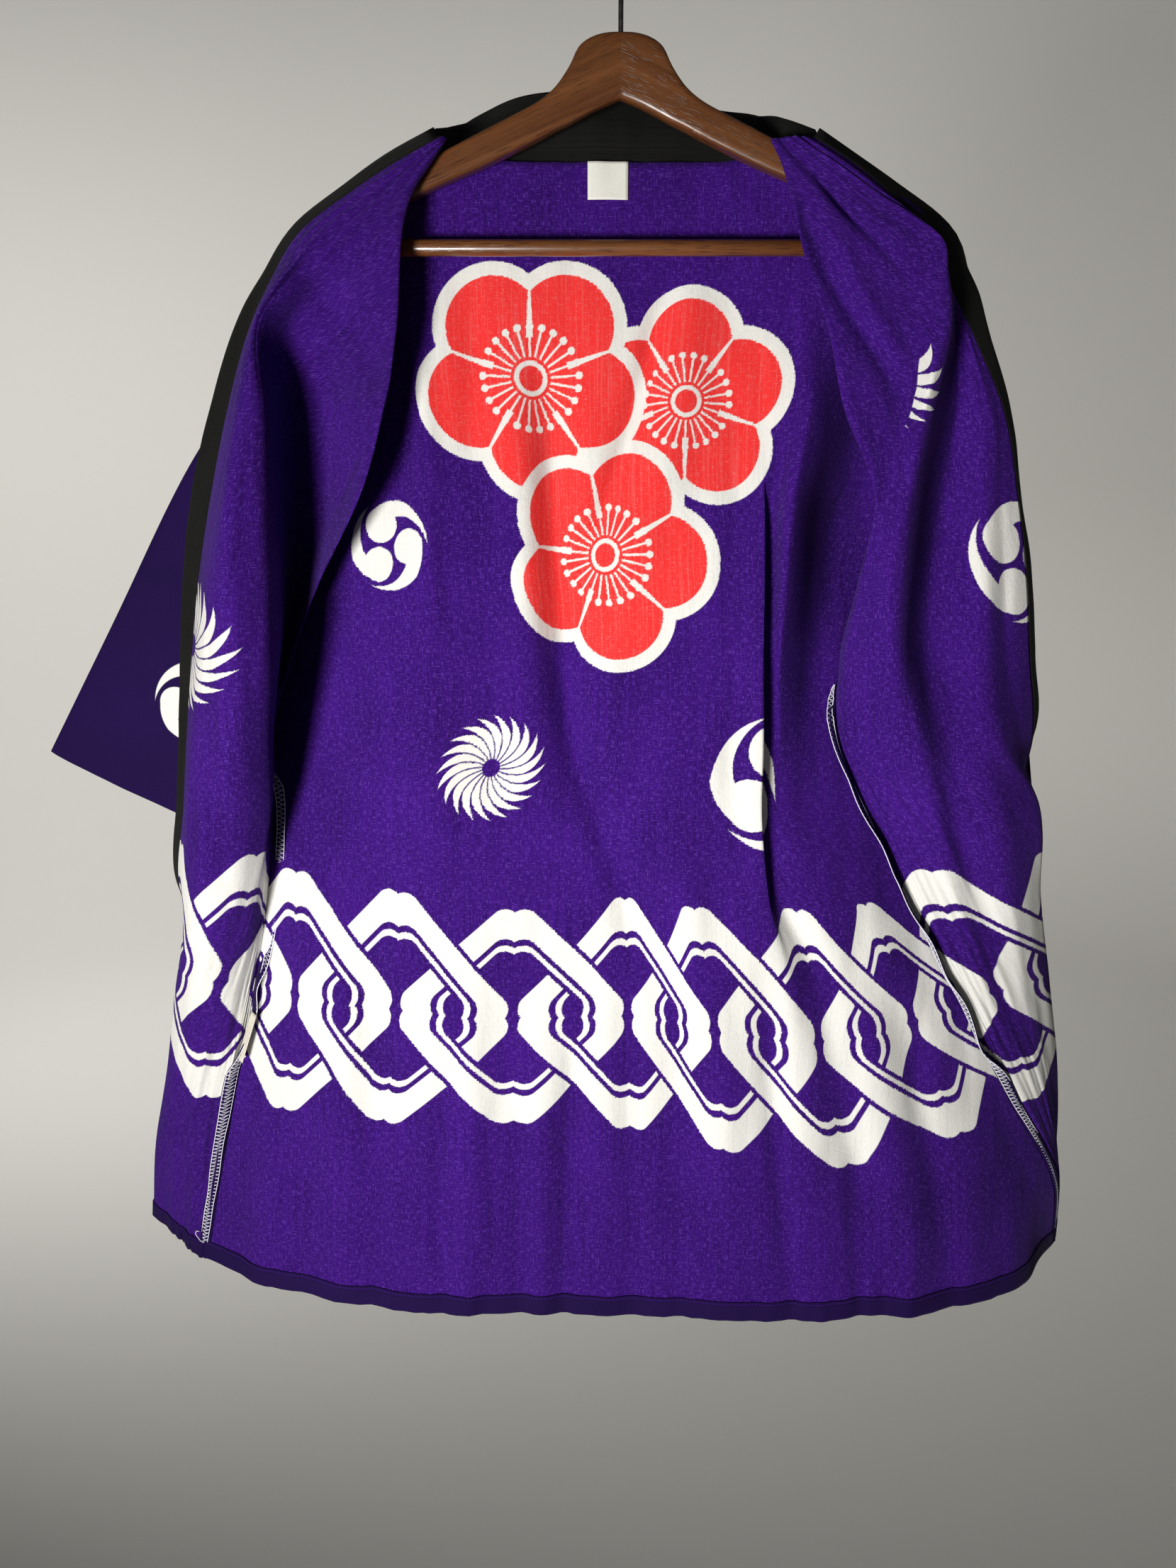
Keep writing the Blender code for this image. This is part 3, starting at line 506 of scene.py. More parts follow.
# Folds and creases: the line each follows down the cloth, its half width and how far it moves the
# cloth back, or forward where that is below zero.
CREASE_COLUMNS = "line half_width depth"
BACK_CREASES = table(CREASE_COLUMNS, [
    ([(-45, -250), (-42, -291), (-37, -386), (-32, -465), (-26, -540)], 11, 9),
    ([(-64, -240), (-62, -330), (-58, -430), (-56, -520)], 16, -4),
    ([(42, -180), (30, -206), (14, -270), (-2, -326), (-22, -384), (-32, -430)], 8, 6),
    ([(60, -190), (46, -240), (28, -310), (8, -380), (-4, -450), (6, -540)], 16, -4.5),
    ([(-35, -430), (-27, -493), (-12, -540), (2, -580), (14, -640)], 8, 5),
    ([(-128, -225), (-120, -268), (-118, -309), (-118, -360), (-112, -430)], 6, -4),
    ([(-140, -250), (-134, -290), (-136, -330), (-140, -380)], 8, 4),
    ([(-96, -190), (-90, -260), (-92, -330)], 12, 3),
    ([(66, -250), (72, -330), (72, -420), (74, -520), (84, -600)], 9, 3),
    ([(20, -430), (30, -520), (48, -620), (56, -720)], 16, -4),
    ([(96, -540), (106, -592), (124, -626), (142, -690), (160, -790), (168, -900)], 12, 7),
    ([(-214, -690), (-216, -803), (-220, -900)], 10, 3),
    ([(-190, -600), (-186, -700), (-190, -800), (-196, -900)], 12, -3),
    ([(-160, -620), (-164, -740), (-167, -830), (-170, -910)], 9, 4.5),
    ([(-112, -680), (-118, -780), (-120, -830), (-122, -910)], 7, 3.5),
    ([(-90, -600), (-96, -720), (-100, -900)], 12, -3),
    ([(-66, -730), (-65, -830), (-66, -910)], 7, 3),
    ([(-48, -640), (-50, -760), (-50, -900)], 9, -3),
    ([(-28, -680), (-33, -800), (-34, -910)], 8, 4),
    ([(-4, -600), (-8, -740), (-10, -900)], 11, -2.5),
    ([(8, -640), (11, -760), (12, -830), (12, -910)], 7, 3.5),
    ([(38, -660), (42, -780), (44, -910)], 9, 3),
    ([(64, -620), (72, -760), (76, -900)], 14, -4),
    ([(92, -620), (104, -720), (116, -830), (120, -910)], 8, 5),
    ([(134, -640), (150, -740), (160, -900)], 10, -3),
    ([(180, -640), (206, -740), (226, -830), (236, -910)], 12, 5),
    ([(168, -760), (180, -830), (186, -910)], 8, 3.5),
])


def column(rows, z, read):
    """One column of a table of rows that go down the cloth, at height z."""
    return smooth_through([-row.z for row in rows], [read(row) for row in rows], -z)


def place(rows, z, name):
    """An (x, y) column of such a table, at height z."""
    return Vector((column(rows, z, lambda row: getattr(row, name)[0]),
                   column(rows, z, lambda row: getattr(row, name)[1])))


def between(value, start, width):
    """0 up to the start, 1 from so far beyond it, and in between on the way."""
    return min(max((value - start) / width, 0.0), 1.0)


def side_point(z, side, layer):
    """Where the front (layer -1) or the back (layer 1) ends at a side, at height z."""
    x, y, gape = (column(SIDES, z, lambda row: getattr(row, ("left" if side < 0 else "right") + name))
                  for name in ("_x", "_y", "_gape"))
    return Vector((x, y + layer * max(gape, 0.0)))


def next_to_side(z, side, layer, inner):
    """The point that follows a side: down one face of the arm where the cloth lies over it."""
    lying_over = 1.0 - between(-z, ARM_LEAVES_CLOTH, COMES_FREE_WITHIN)
    edge = side_point(z, side, layer)
    on_arm = edge + Vector((-side * NEXT_IN, layer * NEXT_OFF))
    return edge.lerp(inner, NEXT_SHARE).lerp(on_arm, lying_over)


@cache
def back_row(z):
    """The points of the back's section, from its left side to its right side. Where the pleat is
    tucked, the cloth runs back under its edge before it goes on to the ridge."""
    hollow_left, front_left, pleat, ridge, hollow_right = (
        place(BACK, z, name) for name in ("hollow_left", "front_left", "pleat", "ridge", "hollow_right"))
    middle = Vector((BACK_MIDDLE_X, column(BACK, z, lambda row: row.middle_y)))
    tuck = max(column(BACK, z, lambda row: row.tuck), 0.0)
    tucked = min(tuck / 8.0, 1.0)
    return [
        side_point(z, -1, 1),
        next_to_side(z, -1, 1, hollow_left),
        hollow_left,
        front_left,
        front_left.lerp(middle, 0.5),
        middle,
        middle.lerp(pleat, 0.55),
        pleat,
        pleat.lerp(ridge, 0.33).lerp(pleat + Vector((3.0 - tuck, 2.0 + 0.2 * tuck)), tucked),
        pleat.lerp(ridge, 0.66).lerp(pleat + Vector((6.0, 6.0 + 0.35 * tuck)), tucked),
        ridge,
        hollow_right,
        next_to_side(z, 1, 1, hollow_right),
        side_point(z, 1, 1),
    ]


def bump(distance):
    return math.exp(-distance * distance)


def crease_depth(creases, x, z):
    """How far the folds and creases move the cloth back at one place. They flatten at the hem."""
    depth = 0.0
    for crease in creases:
        top, bottom = crease.line[0][1], crease.line[-1][1]
        if bottom < z < top:
            line_x = smooth_through([-height for _, height in crease.line],
                                    [place_x for place_x, _ in crease.line], -z)
            fade = math.sin(math.pi * min((top - z) / (top - bottom), 0.5 if bottom < HEM_HEIGHT else 1.0))
            depth += CREASE_SHARE * crease.depth * fade ** 0.7 * bump((x - line_x) / crease.half_width)
    return depth * mixed(HEM_CREASES, 1.0, min((z - HEM_HEIGHT) / HEM_CALM, 1.0))


def crumple(across, z, piece):
    """The small unevenness of hung cotton, longer down than across, with puckers at the hem. Each
    noise is divided by the length of its folds, in millimetres."""
    long_folds = noise.noise(Vector((across / 24.0, piece, z / 110.0)))
    small_folds = noise.noise(Vector((across / 11.0, piece + 5.0, z / 34.0)))
    puckers = noise.noise(Vector((across / 9.0, piece + 9.0, 0.5))) * bump((z - HEM_HEIGHT) / 30.0)
    return LONG_FOLDS * long_folds + SMALL_FOLDS * small_folds + HEM_PUCKERS * puckers


def back_at(share, z):
    """A point of the back's cloth. The shares of its width run from the left side to the right."""
    x, y = along(back_row(z), share)
    free = min(share, 1.0 - share, BACK_SIDE_SHARE) / BACK_SIDE_SHARE
    return Vector((x, y + free * (crease_depth(BACK_CREASES, x, z) + crumple(x, z, 1.0)), z))


# The printed band's links are numbered from left to right round the coat. A row says where one
# link's upper and lower corners lie on a piece, in its map's millimetres across and down, and how
# far right of the straight line between them its middle lies.
LINK_COLUMNS = "number top_across top_down bottom_across bottom_down sag"
BACK_LINKS = table(LINK_COLUMNS, [
    (-1, -205, -580, -227, -750, 8),
    (0, -126, -586, -147, -748, 6),
    (1, -48, -596, -54, -744, 0),
    (2, 24, -588, 28, -747, 0),
    (3, 70, -590, 92, -758, 3),
    (4, 143, -595, 182, -774, -6),
    (5, 191, -593, 266, -758, -5),
])
LINK_PITCH = 84.0
LINK_HALF_HEIGHT = 80.5


def read_on(stations, values, at):
    """As smooth_through, but it goes straight on beyond both ends."""
    beyond = at - min(max(at, stations[0]), stations[-1])
    k = 0 if beyond < 0.0 else len(stations) - 2
    slope = (values[k + 1] - values[k]) / (stations[k + 1] - stations[k])
    return smooth_through(stations, values, at) + beyond * slope


def link_place(rows, across, height):
    """Where in the band as drawn a place of the cloth is: along it and over its middle line. The
    share of the way down is put right in four steps, as the links' slant depends on it."""
    numbers = [row.number for row in rows]
    down = 0.5
    for _ in range(4):
        bend = 4.0 * down * (1.0 - down)
        number = read_on([mixed(row.top_across, row.bottom_across, down) + bend * row.sag
                          for row in rows], numbers, across)
        top = read_on(numbers, [row.top_down for row in rows], number)
        bottom = read_on(numbers, [row.bottom_down for row in rows], number)
        down = min(max((top - height) / (top - bottom), -0.3), 1.3)
    return number * LINK_PITCH, (1.0 - 2.0 * down) * LINK_HALF_HEIGHT


def cloth_piece(name, across, down, point, finish, zero_column=None, links=None, wall=CLOTH):
    """Cloth through point(column, row), as a wall. Its map reads metres of cloth from the zero
    column, or just x where there is none, and metres of height. links lays out the linked band."""
    mesh = bmesh.new()
    bmesh.ops.create_grid(mesh, x_segments=across, y_segments=down, size=0.5)
    cloth_map = mesh.loops.layers.uv.new("cloth")
    link_map = mesh.loops.layers.uv.new("links") if links else None
    spots = {vert: (round((vert.co.x + 0.5) * across), round((0.5 - vert.co.y) * down))
             for vert in mesh.verts}
    places = {spot: point(*spot) for spot in spots.values()}
    reads = {}
    for j in range(down + 1):
        reach = [0.0]
        for i in range(across):
            reach.append(reach[i] + (places[i + 1, j] - places[i, j]).length)
        for i in range(across + 1):
            place_across = places[i, j].x if zero_column is None else reach[i] - reach[zero_column]
            reads[i, j] = (place_across, places[i, j].z)
    if links:
        link_reads = {spot: link_place(links, *read) for spot, read in reads.items()}
    for vert, spot in spots.items():
        vert.co = places[spot] * MM
    for face in mesh.faces:
        for corner in face.loops:
            corner[cloth_map].uv = [MM * value for value in reads[spots[corner.vert]]]
            if links:
                corner[link_map].uv = [MM * value for value in link_reads[spots[corner.vert]]]
    made = as_object(name, mesh, finish)
    thickness = made.modifiers.new("wall", "SOLIDIFY")
    thickness.thickness = wall * MM
    thickness.offset = 0.0
    return made


# The print: white marks in a purple ground, alike on both faces of the cloth.
PURPLE_DEEP = (0.0150, 0.0012, 0.074)
PURPLE_LIGHT = (0.056, 0.0062, 0.232)
PURPLE_FLECK = (0.145, 0.058, 0.400)
UNDYED = (0.80, 0.79, 0.75)
RED = (0.83, 0.022, 0.022)
PRINT_EDGE = 0.6
WARP_PITCH = 0.62
WEFT_PITCH = 0.66
ROOT_TWO = math.sqrt(2.0)

# A mark's middle on its piece's map, in millimetres across and in height, its radius there, and
# how far it is turned, in degrees.
Spot = namedtuple("Spot", "across down radius turn")


def lower(first, second):
    return first.worked("MINIMUM", second)


def higher(first, second):
    return first.worked("MAXIMUM", second)


def reach_of(first, second):
    """Length of the line that runs so far across and so far down."""
    return (first * first + second * second).worked("SQRT")


def inside(edge):
    """1 where the distance from an edge, in millimetres, is below zero, and 0 outside."""
    return (edge * (-1.0 / PRINT_EDGE) + 0.5).worked("ADD", 0.0, within=True)


def polar(across, down, spot):
    """Distance from a spot's middle, in its radii, and the angle there, in radians."""
    right, up = (across - spot.across) / spot.radius, (down - spot.down) / spot.radius
    return reach_of(right, up), up.worked("ARCTAN2", right)


def map_readings(finish, name):
    """The two numbers of a piece's map, in millimetres, and the map itself."""
    reading, split = finish.node("UVMap", uv_map=name), finish.node("SeparateXYZ")
    finish.feed(split.inputs[0], reading.outputs[0])
    return [Reading(finish, output) * 1000.0 for output in split.outputs[:2]] + [reading.outputs[0]]


# The linked band: two rows of squares on their points, with cut and lobed corners, each over one
# neighbour above the middle line and under it below. The sizes are from a link's middle to its
# sides: those of its broad band, of the thin line inside it, and of what it covers of a neighbour.
LINK_OUTSIDE = 64.7
LINK_INSIDE = 49.3
LINE_OUTSIDE = 45.95
LINE_INSIDE = 42.9
CUT_OUTSIDE = 68.0
CUT_INSIDE = 39.6
LOBE_OFFSET = 6.4
LOBE_RADIUS = 11.0


def link_edge(sideways, upright, size):
    """Distance outside a link's contour of one size."""
    near, far = lower(sideways, upright), higher(sideways, upright)
    side = (near + far) / ROOT_TWO - size
    lobe_near = near - LOBE_OFFSET
    lobe_far = far - (size * ROOT_TWO - LOBE_OFFSET - LOBE_RADIUS * ROOT_TWO)
    lobe = reach_of(lobe_near, lobe_far) - LOBE_RADIUS
    at_lobe = lobe_far.worked("GREATER_THAN", lobe_near)
    return side + (lobe - side) * at_lobe


def ring_between(sideways, upright, outer, inner):
    return inside(link_edge(sideways, upright, outer)) * (1.0 - inside(link_edge(sideways, upright, inner)))


def one_link(sideways, upright):
    """A link's broad white band and the thin white line inside it."""
    return higher(ring_between(sideways, upright, LINK_OUTSIDE, LINK_INSIDE),
                  ring_between(sideways, upright, LINE_OUTSIDE, LINE_INSIDE))


def linked_band(along_band, over_middle):
    """The whole band, from the place along it and the height over its middle line."""
    share = (along_band / LINK_PITCH).worked("FRACT")
    above = over_middle.worked("GREATER_THAN", 0.0)
    left, right = share * LINK_PITCH, (1.0 - share) * LINK_PITCH
    over = right + (left - right) * above
    under = left + (right - left) * above
    upright = abs(over_middle)
    covered = ring_between(over, upright, CUT_OUTSIDE, CUT_INSIDE)
    return higher(one_link(over, upright), one_link(under, upright) * (1.0 - covered))


def comma_swirl(across, down, spot):
    """Three commas in a ring, their heads in and their tails trailing clockwise, in radii."""
    away, angle = polar(across, down, spot)
    trail = (math.radians(spot.turn) - angle).worked("FLOORED_MODULO", math.radians(120))
    tail = higher(0.45 + trail * math.degrees(0.0048) - away,
                  away - lower(0.88 + trail * math.degrees(0.003), trail * 0.0 + 1.0))
    to_head = (trail + math.radians(60)).worked("FLOORED_MODULO", math.radians(120)) - math.radians(60)
    head = reach_of(away * to_head.worked("COSINE") - 0.50, away * to_head.worked("SINE")) - 0.385
    return inside(lower(tail, head) * spot.radius)


PETALS = 20


def petal_whirl(across, down, spot):
    """A ring of narrow petals that all bend one way, parted by thin lines, in radii."""
    away, angle = polar(across, down, spot)
    petal = math.radians(360 / PETALS)
    turned = (angle - math.radians(spot.turn)) - away.worked("POWER", 1.5) * math.radians(31)
    share = (turned / petal).worked("FRACT")
    width = away * petal
    cut = higher(away - 0.58, away * 0.0) / 0.42
    tip = cut.worked("POWER", 1.8)
    sides = higher((tip - share) * width + 0.014, (share - 1.0) * width + 0.014)
    return inside(higher(sides, higher(0.17 - away, away - 1.0)) * spot.radius)


OUTLINE = 8.0


def plum_blossom(across, down, spot):
    """Distance outside a blossom of five round petals, and the white marks inside it. It is drawn
    in radii: petals, the slits that part them, threads, their round ends and the heart."""
    away, angle = polar(across, down, spot)
    fifth = math.radians(72)
    to_petal = ((angle - math.radians(spot.turn)).worked("FLOORED_MODULO", fifth) - fifth / 2)
    ahead, aside = away * to_petal.worked("COSINE"), away * to_petal.worked("SINE")
    petals = reach_of(ahead - 0.56, aside) - 0.44
    edge = lower(petals, away - 0.35) * spot.radius
    parting = fifth / 2 - abs(to_petal)
    slit = higher(away * parting - 0.05 * (1.0 - away), higher(0.36 - away, away - 0.80))
    third = fifth / 5
    to_thread = (to_petal + fifth).worked("FLOORED_MODULO", third) - third / 2
    thread = higher(abs(away * to_thread.worked("SINE")) - 0.010, higher(0.19 - away, away - 0.42))
    anther = reach_of(away * to_thread.worked("COSINE") - 0.45, away * to_thread.worked("SINE")) - 0.034
    heart = abs(away - 0.135) - 0.022
    marks = lower(lower(slit, thread), lower(anther, heart)) * spot.radius
    return edge, marks


def printed_cotton(name, printed):
    """Plain woven cotton, dyed purple but for what printed(across, down) leaves white or makes
    red. Undyed thread shows through as light flecks, and it is a little rubbed and uneven."""
    finish = Finish(name, {"Roughness": 0.88, "Sheen Weight": 0.03, "Sheen Roughness": 0.4,
                           "Specular IOR Level": 0.10})
    across, down, cloth_map = map_readings(finish, "cloth")
    along_band, over_middle, _ = map_readings(finish, "links")

    cross_flecks = noise_over(finish, cloth_map, (260, 1500, 1), detail=1.0)
    down_flecks = noise_over(finish, cloth_map, (1500, 260, 1), detail=1.0)
    streaks = noise_over(finish, cloth_map, (700, 14, 1))
    clouds = noise_over(finish, cloth_map, (16, 12, 1), detail=3.0)
    heather = (cross_flecks + down_flecks) * 0.5 + (streaks - 0.5) * 0.5 + (clouds - 0.5) * 0.4
    flecks = higher(cross_flecks.above(0.66, 0.12), down_flecks.above(0.66, 0.12))
    ground = mixed_colour(finish, heather.above(0.5, 0.55), PURPLE_DEEP, PURPLE_LIGHT)
    ground = mixed_colour(finish, flecks * 0.42, ground, PURPLE_FLECK)

    ragged = (cross_flecks - down_flecks) * 1.4
    white, red = printed(across + ragged, down + ragged)
    white = higher(white, linked_band(along_band + ragged, over_middle + ragged))
    thin = 0.985 - flecks * 0.10 - (streaks.above(0.6, 0.2) * 0.06)
    colour = mixed_colour(finish, white * thin, ground, UNDYED)
    if red:
        colour = mixed_colour(finish, red * thin, colour, RED)
    finish.paint(colour)

    warp = (across * (2 * math.pi / WARP_PITCH)).worked("SINE")
    weft = (down * (2 * math.pi / WEFT_PITCH)).worked("SINE")
    crinkle = noise_over(finish, cloth_map, (120, 60, 1), detail=3.0)
    height = warp * weft * 0.12 + crinkle * 0.8 + (cross_flecks + down_flecks) * 0.25
    raise_surface(finish, height, 0.55)
    return finish


BACK_ACROSS = 168
BACK_DOWN = 186
# The middle is the sixth of the fourteen points of the back's section.
BACK_MIDDLE_SHARE = 5 / 13
BACK_WHIRLS = [Spot(-67, -504, 35, 66)]
BACK_SWIRLS = [Spot(-137, -364, 28, 118), Spot(124, -511, 43.5, 98)]
BLOSSOMS = [Spot(64, -278, 60, 54), Spot(-36, -264, 67, 90), Spot(12, -370, 65, 30)]


def with_motifs(across, down, whirls, swirls):
    """The white whirls and swirls on one piece."""
    white = across * 0.0
    for spot in whirls:
        white = higher(white, petal_whirl(across, down, spot))
    for spot in swirls:
        white = higher(white, comma_swirl(across, down, spot))
    return white


def back_prints(across, down):
    white = with_motifs(across, down, BACK_WHIRLS, BACK_SWIRLS)
    red = across * 0.0
    for spot in BLOSSOMS:
        edge, marks = plum_blossom(across, down, spot)
        outlined, petals = inside(edge - OUTLINE), inside(edge) * (1.0 - inside(marks))
        white = higher(white, outlined)
        red = red * (1.0 - outlined) + petals * outlined
    return white, red


def neck_line(x):
    """Height of the back's upper edge: level behind the neck, then up to the shoulders."""
    return NECK_HEIGHT + NECK_RISE * between(abs(x), NECK_LEVEL_HALF, NECK_RISES_WITHIN) ** 1.5


back_heights = [mixed(NECK_HEIGHT, HEM_HEIGHT, j / BACK_DOWN) for j in range(BACK_DOWN + 1)]
back_tops = [neck_line(back_at(i / BACK_ACROSS, NECK_HEIGHT).x) for i in range(BACK_ACROSS + 1)]


def back_place(i, j):
    """A point of the back's grid, whose rows rise a little at the top to follow the neck line."""
    share = max(back_heights[j] - NECK_HEIGHT + NECK_ROWS_WITHIN, 0.0) / NECK_ROWS_WITHIN
    return back_at(i / BACK_ACROSS, back_heights[j] + share * (back_tops[i] - NECK_HEIGHT))


back = cloth_piece("coat_back", BACK_ACROSS, BACK_DOWN, back_place,
                   printed_cotton("back cotton", back_prints),
                   round(BACK_MIDDLE_SHARE * BACK_ACROSS), BACK_LINKS)
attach(back, "root")
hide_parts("back")

# The fronts are each one width of the same cotton, thrown wide open over the hanger's arms, so
# that they show their inside too. Each folds round beside the chest and rolls back at its edge.
FRONT_ACROSS = 128
FRONT_DOWN = 190

# From its shoulder and side seam the left front runs in to the fold, back into a deep hollow, out
# to a ridge, over a rounded crest, and to the edge that the band is sewn to.
FRONT_LEFT = table("z under fold hollow ridge crest turn edge", [
    (-136, (-103, -9), (-100, -11), (-100, -14), (-101, -15), (-101, -16), (-102, -16), (-103, -14)),
    (-150, (-119, -11), (-110, -13), (-115, -17), (-118, -18), (-121, -18), (-125, -18), (-130, -15)),
    (-165, (-134, -11), (-120, -15), (-128, -17), (-136, -19), (-142, -20), (-149, -20), (-155, -15)),
    (-185, (-172, -10), (-126, -18), (-149, -18), (-162, -20), (-171, -21), (-179, -19), (-185, -13)),
    (-210, (-186, -9), (-128, -21), (-170, -17), (-187, -24), (-193, -26), (-198, -21), (-204, -10)),
    (-240, (-190, 2), (-130, -23), (-191, -8), (-207, -32), (-210, -33), (-214, -25), (-221, -6)),
    (-285, (-200, 16), (-139, -23), (-201, 10), (-205, -35), (-215, -43), (-227, -29), (-239, 3)),
    (-335, (-206, 28), (-155, -20), (-206, 22), (-206, -37), (-223, -48), (-239, -29), (-254, 9)),
    (-385, (-211, 39), (-186, -1), (-211, 32), (-208, -36), (-231, -49), (-249, -28), (-266, 13)),
    (-435, (-222, 45), (-212, 24), (-222, 38), (-211, -31), (-237, -45), (-257, -23), (-275, 17)),
    (-485, (-238, 46), (-231, 40), (-231, 30), (-219, -17), (-244, -35), (-267, -15), (-283, 21)),
    (-535, (-234, 33), (-233, 30), (-232, 22), (-227, 0), (-254, -20), (-276, -5), (-290, 25)),
    (-600, (-240, 30), (-241, 27), (-241, 19), (-246, 7), (-268, -3), (-289, 13), (-302, 42)),
    (-670, (-255, 32), (-257, 29), (-264, 23), (-275, 18), (-294, 21), (-312, 50), (-290, 84)),
    (-745, (-274, 35), (-278, 33), (-287, 31), (-299, 31), (-314, 40), (-328, 70), (-262, 107)),
    (-820, (-292, 39), (-297, 39), (-307, 41), (-319, 47), (-332, 60), (-348, 90), (-238, 124)),
    (-885, (-307, 45), (-312, 48), (-321, 56), (-332, 68), (-344, 82), (-360, 108), (-232, 138)),
])

# The right front, the same way, except that its hollow is a shallow one next to the band.
FRONT_RIGHT = table("z under fold crease ridge valley turn edge", [
    (-136, (92, -9), (86, -12), (92, -15), (96, -17), (100, -17), (105, -16), (110, -14)),
    (-150, (112, -10), (93, -14), (107, -17), (116, -19), (122, -20), (128, -18), (134, -14)),
    (-165, (136, -10), (98, -16), (121, -19), (136, -21), (145, -21), (150, -18), (154, -14)),
    (-190, (173, -10), (104, -19), (145, -21), (179, -26), (182, -23), (183, -17), (184, -12)),
    (-210, (183, -11), (110, -20), (158, -22), (185, -28), (189, -20), (191, -13), (192, -8)),
    (-240, (184, 0), (121, -22), (166, -23), (188, -32), (200, -4), (207, -3), (212, 0)),
    (-285, (190, 14), (132, -24), (165, -25), (179, -33), (205, 6), (222, 0), (237, 8)),
    (-335, (190, 16), (153, -23), (159, -24), (173, -30), (201, 10), (229, 2), (251, 14)),
    (-385, (170, 20), (149, -8), (153, -18), (170, -27), (198, 10), (233, 2), (262, 19)),
    (-435, (146, 16), (143, 9), (148, -4), (170, -20), (200, 6), (237, 2), (270, 25)),
    (-485, (147, 9), (150, 6), (162, -4), (182, -14), (212, -10), (245, -4), (277, 28)),
    (-535, (170, 7), (175, 4), (188, -3), (208, -9), (238, -9), (280, 15), (272, 38)),
    (-600, (202, 3), (208, 1), (222, -1), (240, 0), (264, 6), (292, 32), (262, 56)),
    (-670, (240, 4), (246, 4), (258, 7), (272, 12), (290, 24), (308, 50), (244, 84)),
    (-745, (281, 16), (286, 18), (296, 23), (305, 30), (314, 41), (322, 64), (226, 104)),
    (-820, (325, 45), (328, 49), (331, 54), (333, 60), (335, 68), (332, 84), (214, 112)),
    (-885, (338, 68), (340, 72), (342, 77), (343, 82), (341, 89), (332, 101), (208, 117)),
])
FRONTS = {-1: FRONT_LEFT, 1: FRONT_RIGHT}
FRONT_CREASES = {
    -1: table(CREASE_COLUMNS, [
        ([(-196, -192), (-176, -217), (-161, -236), (-146, -256), (-136, -284)], 10, 4.5),
        ([(-150, -238), (-156, -330), (-176, -430), (-200, -500)], 10, -4),
        ([(-174, -236), (-180, -300), (-190, -380)], 9, 3.5),
        ([(-245, -400), (-252, -500), (-262, -620)], 9, 3.5),
        ([(-226, -300), (-228, -420), (-236, -540)], 8, -3),
        ([(-262, -620), (-274, -740), (-284, -860), (-290, -910)], 8, -3),
        ([(-300, -700), (-318, -800), (-330, -910)], 9, 3.5),
    ]),
    1: table(CREASE_COLUMNS, [
        ([(89, -134), (110, -155), (127, -174), (142, -190)], 4.5, 4),
        ([(98, -148), (109, -182), (125, -216), (155, -262), (168, -296)], 6, 5.5),
        ([(106, -140), (123, -166), (146, -192), (162, -210)], 4, 3.5),
        ([(118, -176), (136, -216), (158, -250), (176, -276)], 7, -3.5),
        ([(166, -330), (160, -380), (158, -420)], 7, -3),
        ([(205, -420), (216, -520), (250, -640)], 12, 5),
        ([(176, -420), (200, -520), (236, -620), (262, -700)], 9, -3.5),
        ([(230, -480), (262, -590), (292, -700)], 12, -3),
        ([(236, -300), (246, -400), (252, -480)], 10, 3.5),
    ]),
}
FRONT_LEFT_LINKS = table(LINK_COLUMNS, [
    (-3, 9, -560, 58, -750, -27),
    (-2, 86, -562, 142, -750, -24),
    (-1, 163, -568, 226, -750, -20),
])
FRONT_LEFT_WHIRL = Spot(2, -427, 42.5, 66)
LEFT_WHIRL_STRETCH = 2.0
# The cloth under the flap is smooth. The flap begins at this share of a front's width, and its
# creases come up over so much more of it. The crumple takes the whole width as so many millimetres.
FLAP_BEGINS = 0.2
FLAP_WITHIN = 0.1
CRUMPLE_WIDTH = 320.0
FRONT_RIGHT_LINKS = table(LINK_COLUMNS, [
    (5, -213, -580, -250, -747, 10),
    (6, -129, -572, -166, -747, 10),
    (7, -30, -566, -50, -747, 25),
])
FRONT_RIGHT_WHIRL = Spot(-105, -254, 43.5, 66)
FRONT_RIGHT_SWIRLS = [Spot(-6, -375, 38, 131)]


@cache
def front_row(side, z):
    """The points of a front's section: under the flap from its side, then the flap to its edge."""
    places = [place(FRONTS[side], z, name) for name in FRONTS[side][0]._fields[1:]]
    return [side_point(z, side, -1), next_to_side(z, side, -1, places[0])] + places


def front_at(side, share, z):
    """A point of a front's cloth. The shares of its width run from its side to its edge."""
    x, y = along(front_row(side, z), share)
    free = min(share, 1.0 - share, FRONT_SIDE_SHARE) / FRONT_SIDE_SHARE
    flap = between(share, FLAP_BEGINS, FLAP_WITHIN)
    folds = flap * crease_depth(FRONT_CREASES[side], x, z)
    folds += crumple(CRUMPLE_WIDTH * share, z, 3.0 + side)
    return Vector((x, y + free * folds, z))


def front_left_prints(across, down):
    """Half a whirl at the edge, drawn out across where the cloth turns away."""
    return petal_whirl(across * (1.0 / LEFT_WHIRL_STRETCH), down, FRONT_LEFT_WHIRL), None


def front_right_prints(across, down):
    """A swirl at the edge, and a whirl of which a join in the cloth leaves only the right end."""
    beyond_join = (across + 84.0) * 0.8 - (down + 270.0) * 0.6
    white = with_motifs(across, down, [], FRONT_RIGHT_SWIRLS)
    whirl = petal_whirl(across, down, FRONT_RIGHT_WHIRL) * inside(beyond_join * -1.0)
    return higher(white, whirl), None


